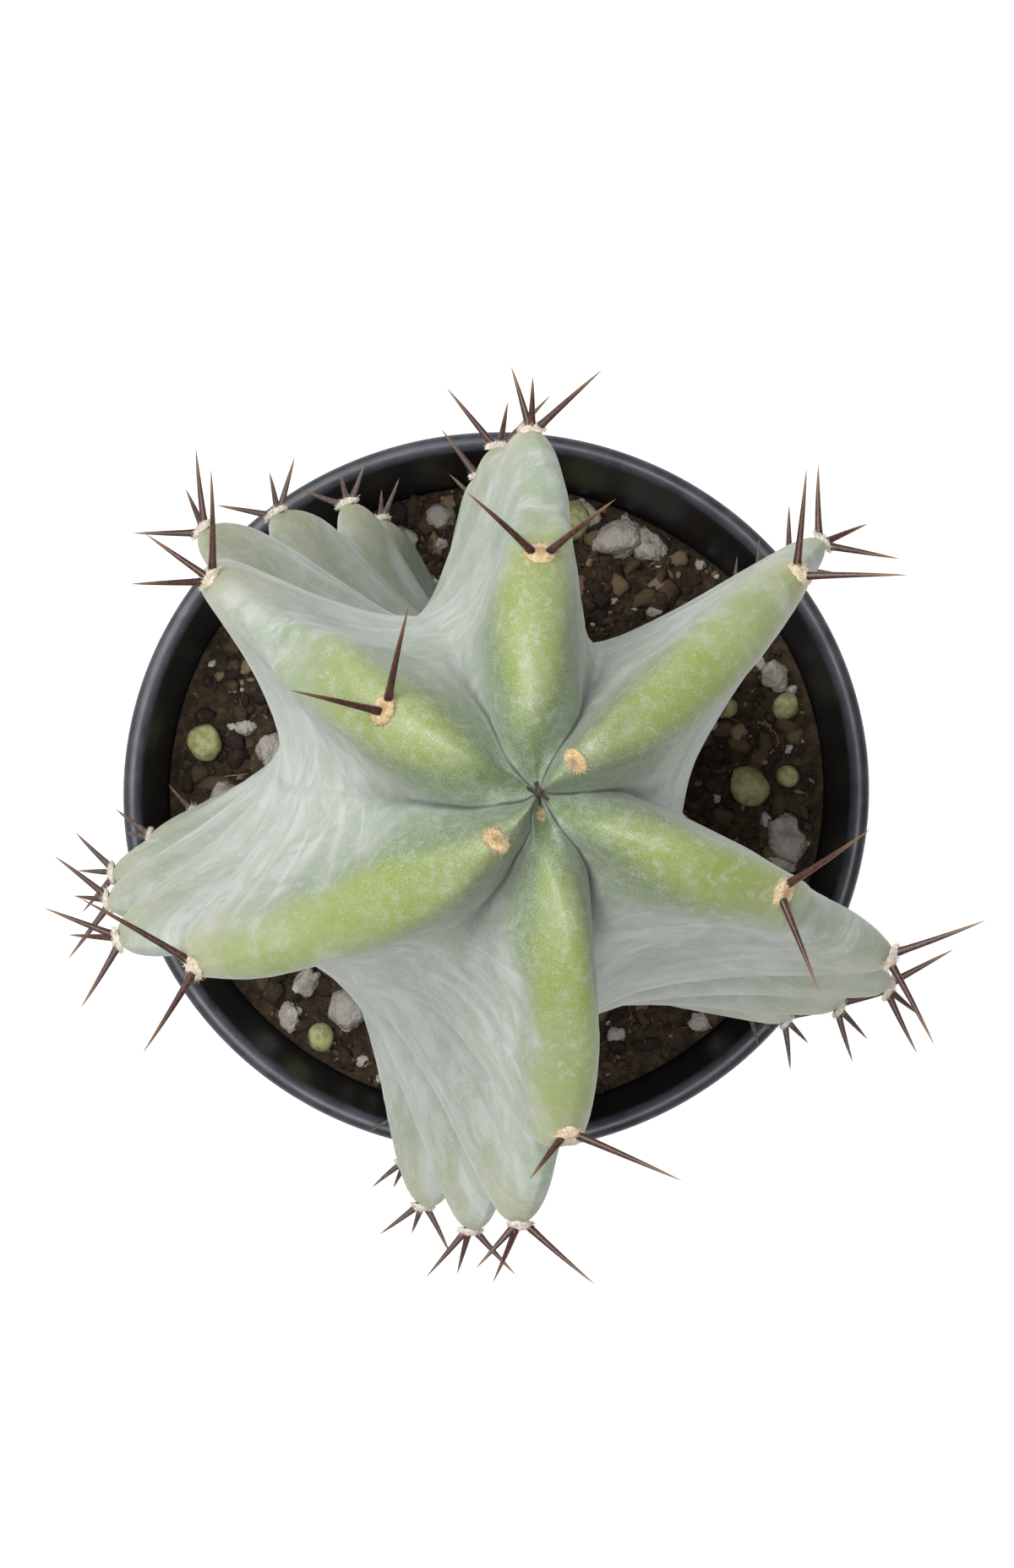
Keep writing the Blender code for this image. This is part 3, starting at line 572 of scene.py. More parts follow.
def stem_grid():
    """The stem's rings from the tip down to its buried end, and what the skin reads of each."""
    rows = np.linspace(0, 1, STEM_ROWS) ** TIP_CROWDING
    places = np.interp(ARCS[0] + (ARCS[-1] - ARCS[0]) * rows, ARCS, PLACES)
    steps = np.linspace(0, 1, FLANK_COLUMNS + 1) ** CREST_CROWDING
    blocks = []
    traits = []
    for rib in range(len(RIBS)):
        left, left_traits = rib_surface(rib, 1, steps, places)
        following = (rib + 1) % len(RIBS)
        right, right_traits = rib_surface(following, -1, steps[-2:0:-1], places)
        blocks += [left, right]
        traits += [left_traits, right_traits]
    grid = np.concatenate(blocks, axis=1)
    joined = {key: np.concatenate([part[key] for part in traits], axis=1) for key in traits[0]}
    return grid, joined


def foot_rows(last_row):
    """Rings below the stem's last row, drawn in to the round buried foot."""
    middle = axis_at(SOIL_LEVEL)
    flat = last_row - middle
    flat[:, 2] = 0
    reach = np.linalg.norm(flat, axis=1)
    rows = []
    for radius, height in FOOT_RINGS:
        size = np.minimum(reach, radius) if height > SOIL_LEVEL + 1 else np.full_like(reach, radius)
        row = middle + flat / reach[:, None] * size[:, None]
        row[:, 2] = height
        rows.append(row)
    return np.array(rows)


def end_fans(rows, count):
    """Triangles that close the stem: a fan to the pit of the tip, and one under the foot."""
    tip = rows * count
    last_start = (rows - 1) * count
    faces = []
    for column in range(count):
        following = (column + 1) % count
        faces.append((tip, column, following))
        faces.append((tip + 1, last_start + following, last_start + column))
    return faces


def build_stem():
    grid, traits = stem_grid()
    foot = foot_rows(grid[-1].copy())
    rings = np.concatenate((grid, foot), axis=0)
    rows, count, _axes = rings.shape
    tip = rings[0].mean(axis=0) - (0.0, 0.0, PIT_DEPTH)
    end = rings[-1].mean(axis=0)
    vertices = np.concatenate((rings.reshape(-1, 3), tip[None], end[None]))
    columns = {}
    for key, values in traits.items():
        foot_values = np.repeat(values[-1:], len(foot), axis=0)
        column = np.concatenate((values, foot_values)).ravel()
        columns[key] = np.concatenate((column, [values[0].min(), values[-1].mean()]))
    faces = grid_faces(rows, count) + end_fans(rows, count)
    return make_piece("stem", vertices, faces, skin_material(), **columns)


def areole_frame(rib, arc):
    """Position, outward normal and rib azimuth of an areole on its crest."""
    place = np.interp([arc], ARCS, PLACES)
    _point, normal = crest_base(rib, place)
    azimuth = float(rib_azimuth(rib, arc))
    outward = radial(azimuth) * normal[0, 0] + np.array((0.0, 0.0, normal[0, 1]))
    position = rib_surface(rib, 1, np.array([0.0]), place)[0][0, 0]
    return position, outward / np.linalg.norm(outward), azimuth


def spine_set(chance, rib, index, height):
    """Swing off the rib's azimuth, lift above level and length of each spine of an areole."""
    arc = RIBS[rib]["areoles"][index]
    if (rib, index) in UPPER_SPINES:
        return UPPER_SPINES[(rib, index)]
    if arc < BARE_ARC:
        return ()
    length = SPINE_LENGTH - AGED_LOSS * float(smooth_step((arc - GROWN_ARC) / AGED_REACH))
    plan = [(swing, lift, share * length) for swing, lift, share in GROWN_SPINES]
    if height < LOW_HEIGHT:
        plan = LOW_SPINES
    return [(swing + chance.uniform(-SWING_STRAY, SWING_STRAY),
             lift + chance.uniform(-LIFT_STRAY, LIFT_STRAY),
             size * chance.uniform(*LENGTH_SPREAD)) for swing, lift, size in plan]


def add_needle(vertices, faces, along, root, direction, length, chance):
    """One spine: thick root, slight swelling, straight taper to a needle point."""
    turn = np.array(Vector(direction).to_track_quat("Z", "Y").to_matrix())
    start = len(vertices)
    bow = chance.uniform(-SPINE_BOW, SPINE_BOW) * length
    for share, width in NEEDLE:
        out = max(share, 0.0)
        height = share * length if share > 0 else share
        sway = bow * 4 * out * (1 - out)
        for side in range(SPINE_SIDES):
            angle = math.tau * side / SPINE_SIDES
            swell = SPINE_RADIUS * width * (1 + SPINE_FLUTES * math.sin(3 * angle))
            local = np.array((swell * math.cos(angle) + sway, swell * math.sin(angle), height))
            vertices.append(root + turn @ local)
            along.append(out)
    for row in range(len(NEEDLE) - 1):
        low = start + row * SPINE_SIDES
        high = low + SPINE_SIDES
        for side in range(SPINE_SIDES):
            following = (side + 1) % SPINE_SIDES
            faces.append((low + side, low + following, high + following, high + side))
    faces.append(cap(start, SPINE_SIDES)[::-1])
    faces.append(cap(len(vertices) - SPINE_SIDES, SPINE_SIDES))


def build_spines():
    plan_chance = random.Random(SEEDS["spine_plan"])
    shape_chance = random.Random(SEEDS["spine_shape"])
    vertices, faces, along, age = [], [], [], []
    for rib, plan in enumerate(RIBS):
        for index, arc in enumerate(plan["areoles"]):
            position, outward, azimuth = areole_frame(rib, arc)
            for swing, lift, length in spine_set(plan_chance, rib, index, position[2]):
                flat = radial(azimuth + swing) * math.cos(math.radians(lift))
                direction = flat + np.array((0.0, 0.0, math.sin(math.radians(lift))))
                root = position + outward * SPINE_SEAT
                root = root + np.cross((0, 0, 1), radial(azimuth)) * swing / SEAT_SPREAD
                add_needle(vertices, faces, along, root, direction, length - POINT_CLEARANCE,
                           shape_chance)
                age += [arc / OLDEST_ARC] * (len(vertices) - len(age))
    return make_piece("spines", vertices, faces, spine_material(), along=along, age=age)


def pad_turn(outward, azimuth):
    """Axes of a cushion as columns: across the rib, down the rib, out of the skin."""
    outward = np.array(outward)
    across = np.cross((0.0, 0.0, 1.0), radial(azimuth))
    down = np.cross(outward, across)
    return np.stack((across, down, outward), axis=1)


def build_felt():
    """Cushions of short felt on every areole: a lumpy body under a coat of loose fibres."""
    chance = random.Random(SEEDS["felt"])
    vertices, faces, depth, age = [], [], [], []
    for rib, plan in enumerate(RIBS):
        for arc in plan["areoles"]:
            position, outward, azimuth = areole_frame(rib, arc)
            radius = PAD_RADII[(arc > BARE_ARC) + (arc > YOUNG_ARC)]
            turn = pad_turn(outward, azimuth)
            add_pad(vertices, faces, depth, position, turn, radius, chance)
            age += [arc / OLDEST_ARC] * (len(vertices) - len(age))
    rib, arc, radius = TIP_TUFT
    position, _outward, azimuth = areole_frame(rib, arc)
    add_pad(vertices, faces, depth, position, pad_turn((0.0, 0.0, 1.0), azimuth), radius, chance)
    age += [TUFT_AGE] * (len(vertices) - len(age))
    return make_piece("areole_felt", vertices, faces, felt_material(), depth=depth, age=age)


def dome_point(angle, around):
    """Point of a unit ball, by its angle off the pole and its turn around it."""
    return np.array((math.sin(angle) * math.cos(around), math.sin(angle) * math.sin(around),
                     math.cos(angle)))


def add_pad(vertices, faces, depth, position, turn, radius, chance):
    """One cushion: an uneven oval body, then fibres combed every way over it."""
    start = len(vertices)
    offset = chance.uniform(0, 90)
    reach = np.array((radius * PAD_SPREAD, radius * PAD_SPREAD * PAD_OVAL, PAD_HEIGHT))
    for ring in range(PAD_RINGS):
        share = ring / (PAD_RINGS - 1)
        for side in range(PAD_SIDES):
            around = math.tau * side / PAD_SIDES
            spot = Vector((1.5 * math.cos(around), 1.5 * math.sin(around), offset + 3 * share))
            rough = 1 + 0.28 * noise.noise(spot) + 0.16 * noise.noise(spot * 3.7)
            normal = dome_point(share * math.pi * PAD_WRAP, around)
            normal[2] -= 0.3 * (ring == 0)
            vertices.append(position + turn @ (normal * reach * rough * PAD_BODY))
            depth.append(share)
    faces += tube_faces(PAD_RINGS, PAD_SIDES, start)
    for _fibre in range(FIBRES_PER_PAD):
        add_fibre(vertices, faces, depth, position, turn, reach, chance)


def add_fibre(vertices, faces, depth, position, turn, reach, chance):
    """A short bent hair: one thin quad for its shaft and a triangle for its end."""
    around = chance.uniform(0, math.tau)
    share = math.sqrt(chance.uniform(0.02, 1.0))
    normal = dome_point(share * math.pi * COAT_WRAP, around)
    lean = np.array([chance.gauss(0, FIBRE_STRAY) for _axis in range(3)])
    bend = np.array([chance.gauss(0, FIBRE_STRAY) for _axis in range(3)])
    foot = normal * reach * COAT_DEPTH
    knee = foot + (normal * 0.9 + lean) * chance.uniform(*FIBRE_SHAFT)
    tip = knee + (lean + bend + normal * 0.2) * chance.uniform(*FIBRE_END)
    across = np.cross(lean, normal)
    across = across / max(np.linalg.norm(across), 0.01) * FIBRE_WIDTH
    first = len(vertices)
    for local in (foot - across, foot + across, knee - across * 0.8, knee + across * 0.8, tip):
        vertices.append(position + turn @ local)
    depth.extend((share,) * 5)
    faces.append((first, first + 1, first + 3, first + 2))
    faces.append((first + 2, first + 3, first + 4))


def wall_ring(radius, height):
    """A ring of the pot, more oval the nearer it is to the rim."""
    azimuths = np.arange(POT_SIDES) * 360.0 / POT_SIDES
    swing = np.radians(2 * (azimuths - RIM_OVAL_AZIMUTH))
    reach = radius * (1 + RIM_OVAL * height / POT_HEIGHT * np.cos(swing))
    ring = radial(azimuths) * reach[:, None]
    ring[:, 2] = height
    return ring


def inner_radius(height):
    """Inside of the pot's wall, from the floor up to the lip."""
    low = FOOT_RADIUS - WALL
    high = RIM_RADIUS - LIP_WIDTH
    return low + (high - low) * height / (POT_HEIGHT - LIP_HEIGHT)


def lip_profile():
    """The rolled lip as half an ellipse with a short skirt."""
    middle = RIM_RADIUS - LIP_WIDTH / 2
    top = POT_HEIGHT - LIP_CROWN
    under = POT_HEIGHT - LIP_HEIGHT
    points = [(RIM_RADIUS - 0.5, under), (RIM_RADIUS - 0.12, under + 0.3)]
    for index in range(LIP_STEPS + 1):
        angle = math.pi * index / LIP_STEPS
        height = top + LIP_CROWN * math.sin(angle) ** 0.8
        points.append((middle + LIP_WIDTH / 2 * math.cos(angle), height))
    return points


def pot_profile():
    """The pot's wall as one outline: under, out, up the outside, over the lip, down the inside."""
    foot_inner = FOOT_RADIUS - FOOT_RING_WIDTH
    floor = CHANNEL_RISE + WALL
    band = POT_HEIGHT - BAND_DROP
    band_radius = inner_radius(band) + WALL
    under_lip = POT_HEIGHT - LIP_HEIGHT
    outside = [
        (0.5, 0.0), (CENTRE_DISC_RADIUS, 0.0), (CENTRE_DISC_RADIUS + 0.6, 0.3),
        (CENTRE_DISC_RADIUS + 2.0, CHANNEL_RISE), (foot_inner - 1.0, CHANNEL_RISE),
        (foot_inner - 0.4, 0.3), (foot_inner, 0.0), (FOOT_RADIUS - 0.9, 0.0),
        (FOOT_RADIUS - 0.3, 0.3), (FOOT_RADIUS, 1.0),
    ]
    wall = [(inner_radius(height) + WALL, height) for height in np.linspace(6, band - 0.4, 8)]
    step = [(band_radius + 0.15, band), (band_radius + BAND_STEP - 0.2, band + 0.8),
            (band_radius + BAND_STEP, band + 1.3)]
    brim = [(inner_radius(under_lip) + WALL + 0.6, under_lip - 0.2)]
    inside = []
    for height in np.linspace(under_lip - 0.8, floor + 2.0, 60):
        ledge = 0.12 * math.sin(height * 2.1) ** 8 if height > SOIL_LEVEL - SOIL_DIP - 3 else 0.0
        inside.append((inner_radius(height) - ledge, height))
    floor_ring = [(inner_radius(floor) - 1.5, floor), (1.0, floor)]
    return outside + wall + step + brim + lip_profile() + inside + floor_ring


def build_pot():
    rings = np.array([wall_ring(radius, height) for radius, height in pot_profile()])
    faces = turned_over(tube_faces(len(rings), POT_SIDES))
    pot = make_piece("pot_shell", rings.reshape(-1, 3), faces, pot_material())
    drill_drains(pot)
    return pot


def drain_cutter():
    """Round plugs where the holes go, through the raised channel of the pot's floor."""
    bm = bmesh.new()
    circle = (CENTRE_DISC_RADIUS + FOOT_RADIUS - FOOT_RING_WIDTH) / 2 + 0.5
    for index in range(DRAIN_COUNT):
        centre = radial(360.0 * (index + 0.5) / DRAIN_COUNT) * circle
        bmesh.ops.create_cone(
            bm, cap_ends=True, segments=DRAIN_SIDES, radius1=DRAIN_RADIUS * METRE,
            radius2=DRAIN_RADIUS * METRE, depth=DRAIN_DEPTH * METRE,
            matrix=Matrix.Translation(Vector((centre[0], centre[1], CHANNEL_RISE)) * METRE))
    mesh = bpy.data.meshes.new("drains")
    bm.to_mesh(mesh)
    bm.free()
    cutter = bpy.data.objects.new("drains", mesh)
    bpy.context.scene.collection.objects.link(cutter)
    return cutter


def drill_drains(pot):
    cutter = drain_cutter()
    cut = pot.modifiers.new("drains", "BOOLEAN")
    cut.operation = "DIFFERENCE"
    cut.object = cutter
    bpy.context.view_layer.update()
    graph = bpy.context.evaluated_depsgraph_get()
    drained = bpy.data.meshes.new_from_object(pot.evaluated_get(graph))
    pot.modifiers.remove(cut)
    pot.data = drained
    drained.shade_smooth()
    drained.set_sharp_from_angle(angle=math.radians(SHARP_ANGLE))
    bpy.data.objects.remove(cutter)


def bed_level(y):
    """Mean surface of the mix: level, then falling away towards the far wall."""
    return SOIL_LEVEL - SOIL_DIP * smooth_step((y - DIP_REACH[0]) / (DIP_REACH[1] - DIP_REACH[0]))


def soil_height(x, y):
    """Uneven surface of the potting mix."""
    wave = math.sin(0.33 * x + 1.1) * math.cos(0.41 * y - 0.6) + 0.6 * math.sin(0.7 * x - 0.5 * y)
    fine = noise.fractal(Vector((0.9 * x, 0.9 * y, 3.0)), 0.8, 2.1, 4)
    return bed_level(y) - SOIL_SETTLING + SOIL_ROUGHNESS * WAVE_SHARE * wave + SOIL_GRIT * fine


def round_ring(radius, height):
    """A ring about the stem's foot."""
    ring = axis_at(SOIL_LEVEL) + radial(np.arange(POT_SIDES) * 360.0 / POT_SIDES) * radius
    ring[:, 2] = height
    return ring


def bed_edge(drop):
    """The mix's edge along the wall, a given drop under its surface there."""
    azimuths = np.arange(POT_SIDES) * 360.0 / POT_SIDES
    levels = bed_level(radial(azimuths)[:, 1] * inner_radius(SOIL_LEVEL)) - drop
    return wall_ring(inner_radius(levels) - GAP, levels)


def bed_rings():
    """Rings of the rough top, from the wall in to the foot's hole."""
    rim = bed_edge(0.4)
    mouth = round_ring(FOOT_RINGS[2][0] + HOLE_CLEARANCE, SOIL_LEVEL - 0.4)
    rings = []
    for index in range(SOIL_RINGS + 1):
        share = index / SOIL_RINGS
        ring = rim + (mouth - rim) * share
        inset = min(EDGE_BLEND * share, EDGE_BLEND - EDGE_BLEND * share, 1.0)
        for point in ring:
            base = point[2]
            point[2] = base + (soil_height(point[0], point[1]) - base) * inset
        rings.append(ring)
    return rings


def build_soil_bed():
    """The body of the mix: up the wall, in over the rough top and down into the foot's hole."""
    floor = CHANNEL_RISE + WALL + GAP
    rings = [wall_ring(inner_radius(floor) - 4.0, floor)]
    for height in (floor + 4.0, 40.0):
        rings.append(wall_ring(inner_radius(height) - GAP, height))
    rings.append(bed_edge(1.5))
    rings += bed_rings()
    for radius, height in FOOT_RINGS[3:]:
        rings.append(round_ring(radius + HOLE_CLEARANCE, height - GAP))
    faces = turned_over(tube_faces(len(rings), POT_SIDES))
    return make_piece("soil_bed", np.concatenate(rings), faces, mix_material())


def ball(detail):
    """Unit ball as vertex and face arrays."""
    bm = bmesh.new()
    bmesh.ops.create_icosphere(bm, subdivisions=detail, radius=1.0)
    bm.verts.index_update()
    points = np.array([vert.co[:] for vert in bm.verts])
    faces = [tuple(vert.index for vert in face.verts) for face in bm.faces]
    bm.free()
    return points, faces


def drawn(chance, limits):
    """A value between two limits, or the one number given in their place."""
    return chance.uniform(*limits) if isinstance(limits, tuple) else limits


class Heap:
    """Grains gathered into one mesh, each with its own tone."""

    def __init__(self, detail, chance):
        self.points, self.faces = ball(detail)
        self.chance = chance
        self.vertices = []
        self.loops = []
        self.tones = []

    def broken(self, rough):
        """The ball with a broken surface."""
        chance = self.chance
        offset = Vector((chance.uniform(0, 99), chance.uniform(0, 99), chance.uniform(0, 99)))
        swell = []
        for point in self.points:
            wave = noise.noise(Vector(point * 1.3) + offset)
            wave = wave + 0.5 * noise.noise(Vector(point * 3.1) + offset)
            swell.append(1 + rough * wave)
        return self.points * np.array(swell)[:, None]

    def add(self, centre, size, stretch, rough):
        """One grain, stretched and turned at random."""
        grain = self.broken(rough) * np.array(stretch) * size
        turn = Matrix.Rotation(self.chance.uniform(0, math.tau), 3, "Z")
        turn = turn @ Matrix.Rotation(self.chance.uniform(-0.5, 0.5), 3, "X")
        start = sum(len(block) for block in self.vertices)
        self.vertices.append(grain @ np.array(turn).T + np.array(centre))
        self.loops += [tuple(index + start for index in face) for face in self.faces]
        self.tones += [self.chance.random()] * len(self.points)

    def lay(self, spots, grains):
        """Grains resting on the mix, at spots given by (x, y, radius)."""
        for x, y, size in spots:
            stretch = [drawn(self.chance, limits) for limits in grains["stretch"]]
            self.add(rests_at(x, y, size, grains["lift"]), size, stretch, grains["rough"])

    def strew(self, grains):
        """Grains strewn at random over the mix."""
        self.lay(strewn_spots(self.chance, grains), grains)

    def build(self, name, material):
        vertices = np.concatenate(self.vertices)
        vertices[:, 2] = np.maximum(vertices[:, 2], GRAIN_FLOOR)
        return make_piece(name, vertices, self.loops, material, tone=self.tones)


def open_spot(chance, low, high):
    """A random spot on the mix between the stem's foot and the wall."""
    azimuth = chance.uniform(0, 360)
    reach = math.sqrt(chance.uniform(low * low, high * high))
    x, y, _z = radial(azimuth) * reach
    shrink = inner_radius(bed_level(y)) / inner_radius(SOIL_LEVEL)
    return float(x * shrink), float(y * shrink)


def strewn_spots(chance, grains):
    for _grain in range(grains["count"]):
        x, y = open_spot(chance, *grains["reach"])
        yield x, y, chance.uniform(*grains["size"])


def rests_at(x, y, size, lift):
    """Where a grain lies on the mix, drawn in if it would reach the wall."""
    room = inner_radius(bed_level(y)) * (1 - RIM_OVAL) - WALL_CLEARANCE * size
    draw = min(1.0, room / math.hypot(x, y))
    x, y = x * draw, y * draw
    return (x, y, soil_height(x, y) + size * lift)


def build_crumbs():
    """Loose brown crumbs and dust of peat and bark over the whole bed."""
    chance = random.Random(SEEDS["crumbs"])
    coarse = Heap(2, chance)
    coarse.strew(CRUMBS)
    fine = Heap(1, chance)
    fine.strew(DUST)
    return [coarse.build("peat_crumbs", crumb_material()), fine.build("peat_dust", crumb_material())]


def build_perlite():
    """Pale perlite, a few large lumps and a scatter of bits."""
    stones = Heap(3, random.Random(SEEDS["perlite"]))
    stones.lay(PERLITE, LUMPS)
    stones.strew(BITS)
    return stones.build("perlite", perlite_material())


def build_pellets():
    """Round yellow-green pellets lying on the mix."""
    pellets = Heap(3, random.Random(SEEDS["pellets"]))
    pellets.lay(PELLETS, BEADS)
    return pellets.build("green_pellets", pellet_material())


def add_strand(chance, vertices):
    """Points of one bent strand, three across at each step."""
    x, y = open_spot(chance, *STRANDS["reach"])
    heading = chance.uniform(0, math.tau)
    bend = chance.uniform(*STRANDS["bend"])
    width = chance.uniform(*STRANDS["width"])
    tone = chance.random()
    step = chance.uniform(*STRANDS["step"])
    for _point in range(STRANDS["points"]):
        level = soil_height(x, y) + STRANDS["lift"]
        across = np.array((-math.sin(heading), math.cos(heading), 0.0)) * width
        vertices += [(x, y, level) + across, (x, y, level + 1.4 * width), (x, y, level) - across]
        x += step * math.cos(heading)
        y += step * math.sin(heading)
        if math.hypot(x, y) > STRAND_LIMIT:
            heading += math.pi / 2
        heading += bend + chance.uniform(*STRANDS["stray"])
    return tone


def build_fibres():
    """Thin bent strands of root and coir, flat on the mix."""
    chance = random.Random(SEEDS["strands"])
    vertices, faces, tones = [], [], []
    for _strand in range(STRANDS["count"]):
        start = len(vertices)
        tone = add_strand(chance, vertices)
        tones += [tone] * (len(vertices) - start)
        for low in range(start, len(vertices) - 3, 3):
            faces += [(low, low + 3, low + 4, low + 1), (low + 1, low + 4, low + 5, low + 2),
                      (low + 2, low + 5, low + 3, low)]
    return make_piece("root_fibres", vertices, faces, fibre_material(), tone=tones)


class Nodes:
    """Short ways to lay out a material's nodes."""

    def __init__(self, name):
        self.material = bpy.data.materials.new(name)
        self.material.use_nodes = True
        self.tree = self.material.node_tree
        self.shader = self.tree.nodes["Principled BSDF"]

    def join(self, source, target):
        """Link a socket, or set a number, colour or vector on it."""
        if isinstance(source, (int, float)):
            target.default_value = source
        elif isinstance(source, tuple):
            target.default_value = (*source, 1.0)[:len(target.default_value)]
        else:
            self.tree.links.new(source, target)

    def make(self, kind, output, inputs, **settings):
        """A new node with its settings and inputs, seen through one of its outputs."""
        made = self.tree.nodes.new(kind)
        for key, value in settings.items():
            setattr(made, key, value)
        for key, value in inputs.items():
            self.join(value, made.inputs[key])
        return made.outputs[output]

    def finish(self, colour, roughness, **sockets):
        """Feed the shader; its other sockets are named with _ for a space."""
        self.join(colour, self.shader.inputs["Base Color"])
        self.join(roughness, self.shader.inputs["Roughness"])
        for key, value in sockets.items():
            self.join(value, self.shader.inputs[key.replace("_", " ")])
        return self.material

    def place(self, scale=(1.0, 1.0, 1.0)):
        """Object coordinates in millimetres, scaled along each axis."""
        coordinates = self.make("ShaderNodeTexCoord", "Object", {})
        scale = tuple(value / METRE for value in scale)
        return self.make("ShaderNodeMapping", "Vector", {"Vector": coordinates, "Scale": scale})

    def trait(self, name):
        return self.make("ShaderNodeAttribute", "Fac", {}, attribute_name=name)

    def sum(self, first, second, how="ADD"):
        return self.make("ShaderNodeMath", "Value", {0: first, 1: second}, operation=how)

    def times(self, first, second):
        return self.sum(first, second, "MULTIPLY")

    def swing(self, pattern, size):
        """A pattern about its middle value, times a size."""
        return self.times(self.sum(pattern, -0.5), size)

    def noise(self, vector, scale, detail, roughness, distortion=0.0):
        inputs = {"Vector": vector, "Scale": scale, "Detail": detail, "Roughness": roughness,
                  "Distortion": distortion}
        return self.make("ShaderNodeTexNoise", "Fac", inputs)

    def cells(self, vector, scale):
        return self.make("ShaderNodeTexVoronoi", "Distance", {"Vector": vector, "Scale": scale})

    def vector(self, x, y, z):
        return self.make("ShaderNodeCombineXYZ", "Vector", {"X": x, "Y": y, "Z": z})

    def ramp(self, value, low, high, start=0.0, end=1.0):
        """Smooth change from start to end as value goes from low to high."""
        inputs = {"Value": value, "From Min": low, "From Max": high, "To Min": start, "To Max": end}
        return self.make("ShaderNodeMapRange", "Result", inputs, interpolation_type="SMOOTHSTEP")

    def product(self, *factors):
        """Factors multiplied: sockets, numbers, and tuples that say a ramp."""
        shares = [self.ramp(*factor) if isinstance(factor, tuple) else factor for factor in factors]
        return functools.reduce(self.times, shares)

    def layers(self, colour, *layers):
        """Shades laid over a colour, each as thick as the product of its factors."""
        for shade, *factors in layers:
            inputs = {"Factor": self.product(*factors), "A": colour, "B": shade}
            colour = self.make("ShaderNodeMix", "Result", inputs, data_type="RGBA")
        return colour

    def bump(self, height, strength, distance, before=None):
        """Small relief, distance in millimetres, on top of an earlier bump."""
        inputs = {"Strength": strength, "Distance": distance * METRE, "Height": height}
        if before is not None:
            inputs["Normal"] = before
        return self.make("ShaderNodeBump", "Normal", inputs)


def skin_patterns(skin):
    """What the skin's layers read: places on the rib, noises, and streaks along the folds."""
    arc = skin.trait("arc")
    fold = skin.trait("fold")
    side = skin.trait("side")
    spot = skin.place()
    grain = skin.noise(spot, 3.0, 3.0, 0.7)
    run = skin.vector(skin.times(fold, 0.34), skin.times(side, 1.3), skin.times(arc, 0.02))
    broad_run = skin.vector(skin.times(fold, 0.16), skin.times(side, 1.5), 3.7)
    return SimpleNamespace(
        arc=arc, share=skin.trait("share"), near=skin.trait("near"), youth=skin.trait("youth"),
        cloud=skin.noise(spot, 0.085, 4.0, 0.55), patch=skin.noise(spot, 0.2, 5.0, 0.6, 0.6),
        frost=skin.noise(spot, 0.7, 5.0, 0.7), grain=grain, dust=skin.noise(spot, 6.5, 2.0, 0.6),
        cells=skin.sum(skin.cells(spot, 4.6), skin.times(grain, 0.5)),
        streak=skin.noise(run, 1.0, 5.0, 0.6, 0.7), wide=skin.noise(broad_run, 1.0, 3.0, 0.5, 0.6),
        lined=skin.ramp(arc, 16.0, 45.0, 0.25, 1.0))


def skin_bareness(skin, see):
    """How bare of bloom the skin is: wholly on young ridges, less down the flank, in grains."""
    ridge = see.share
    for pattern, size in ((see.patch, 1.0), (see.wide, 0.7), (see.frost, 0.5), (see.dust, 0.9)):
        ridge = skin.sum(ridge, skin.swing(pattern, size))
    edge = skin.ramp(see.arc, 6.0, 36.0, -0.4, 0.78)
    bare = skin.ramp(skin.sum(ridge, edge, "SUBTRACT"), -0.34, 0.34)
    return skin.times(bare, skin.ramp(see.youth, 0.0, 1.0, 0.05, 1.0))


def skin_bloom(skin, see):
    """Pale bloom of the flanks: cloudy, streaked along the folds, with washed patches."""
    return skin.layers(
        BLOOM_PALE,
        (BLOOM_BLUE, (see.cloud, 0.35, 0.66)),
        (BLOOM_GREEN, (see.patch, 0.38, 0.6), (see.arc, 70.0, 24.0, 0.55, 1.0)),
        (YOUNG_BLOOM, (see.arc, 40.0, 12.0), (see.wide, 0.3, 0.6, 0.55, 1.0)),
        (BLOOM_GREEN, (see.streak, 0.36, 0.52, 0.6, 0.0), see.lined),
        (BLOOM_WHITE, (see.streak, 0.53, 0.68, 0.0, 0.6), see.lined),
        (WET_GREEN, (see.cloud, 0.52, 0.66), (see.frost, 0.36, 0.56, 0.35, 1.0),
         (see.arc, 75.0, 25.0, 0.3, 0.8)))


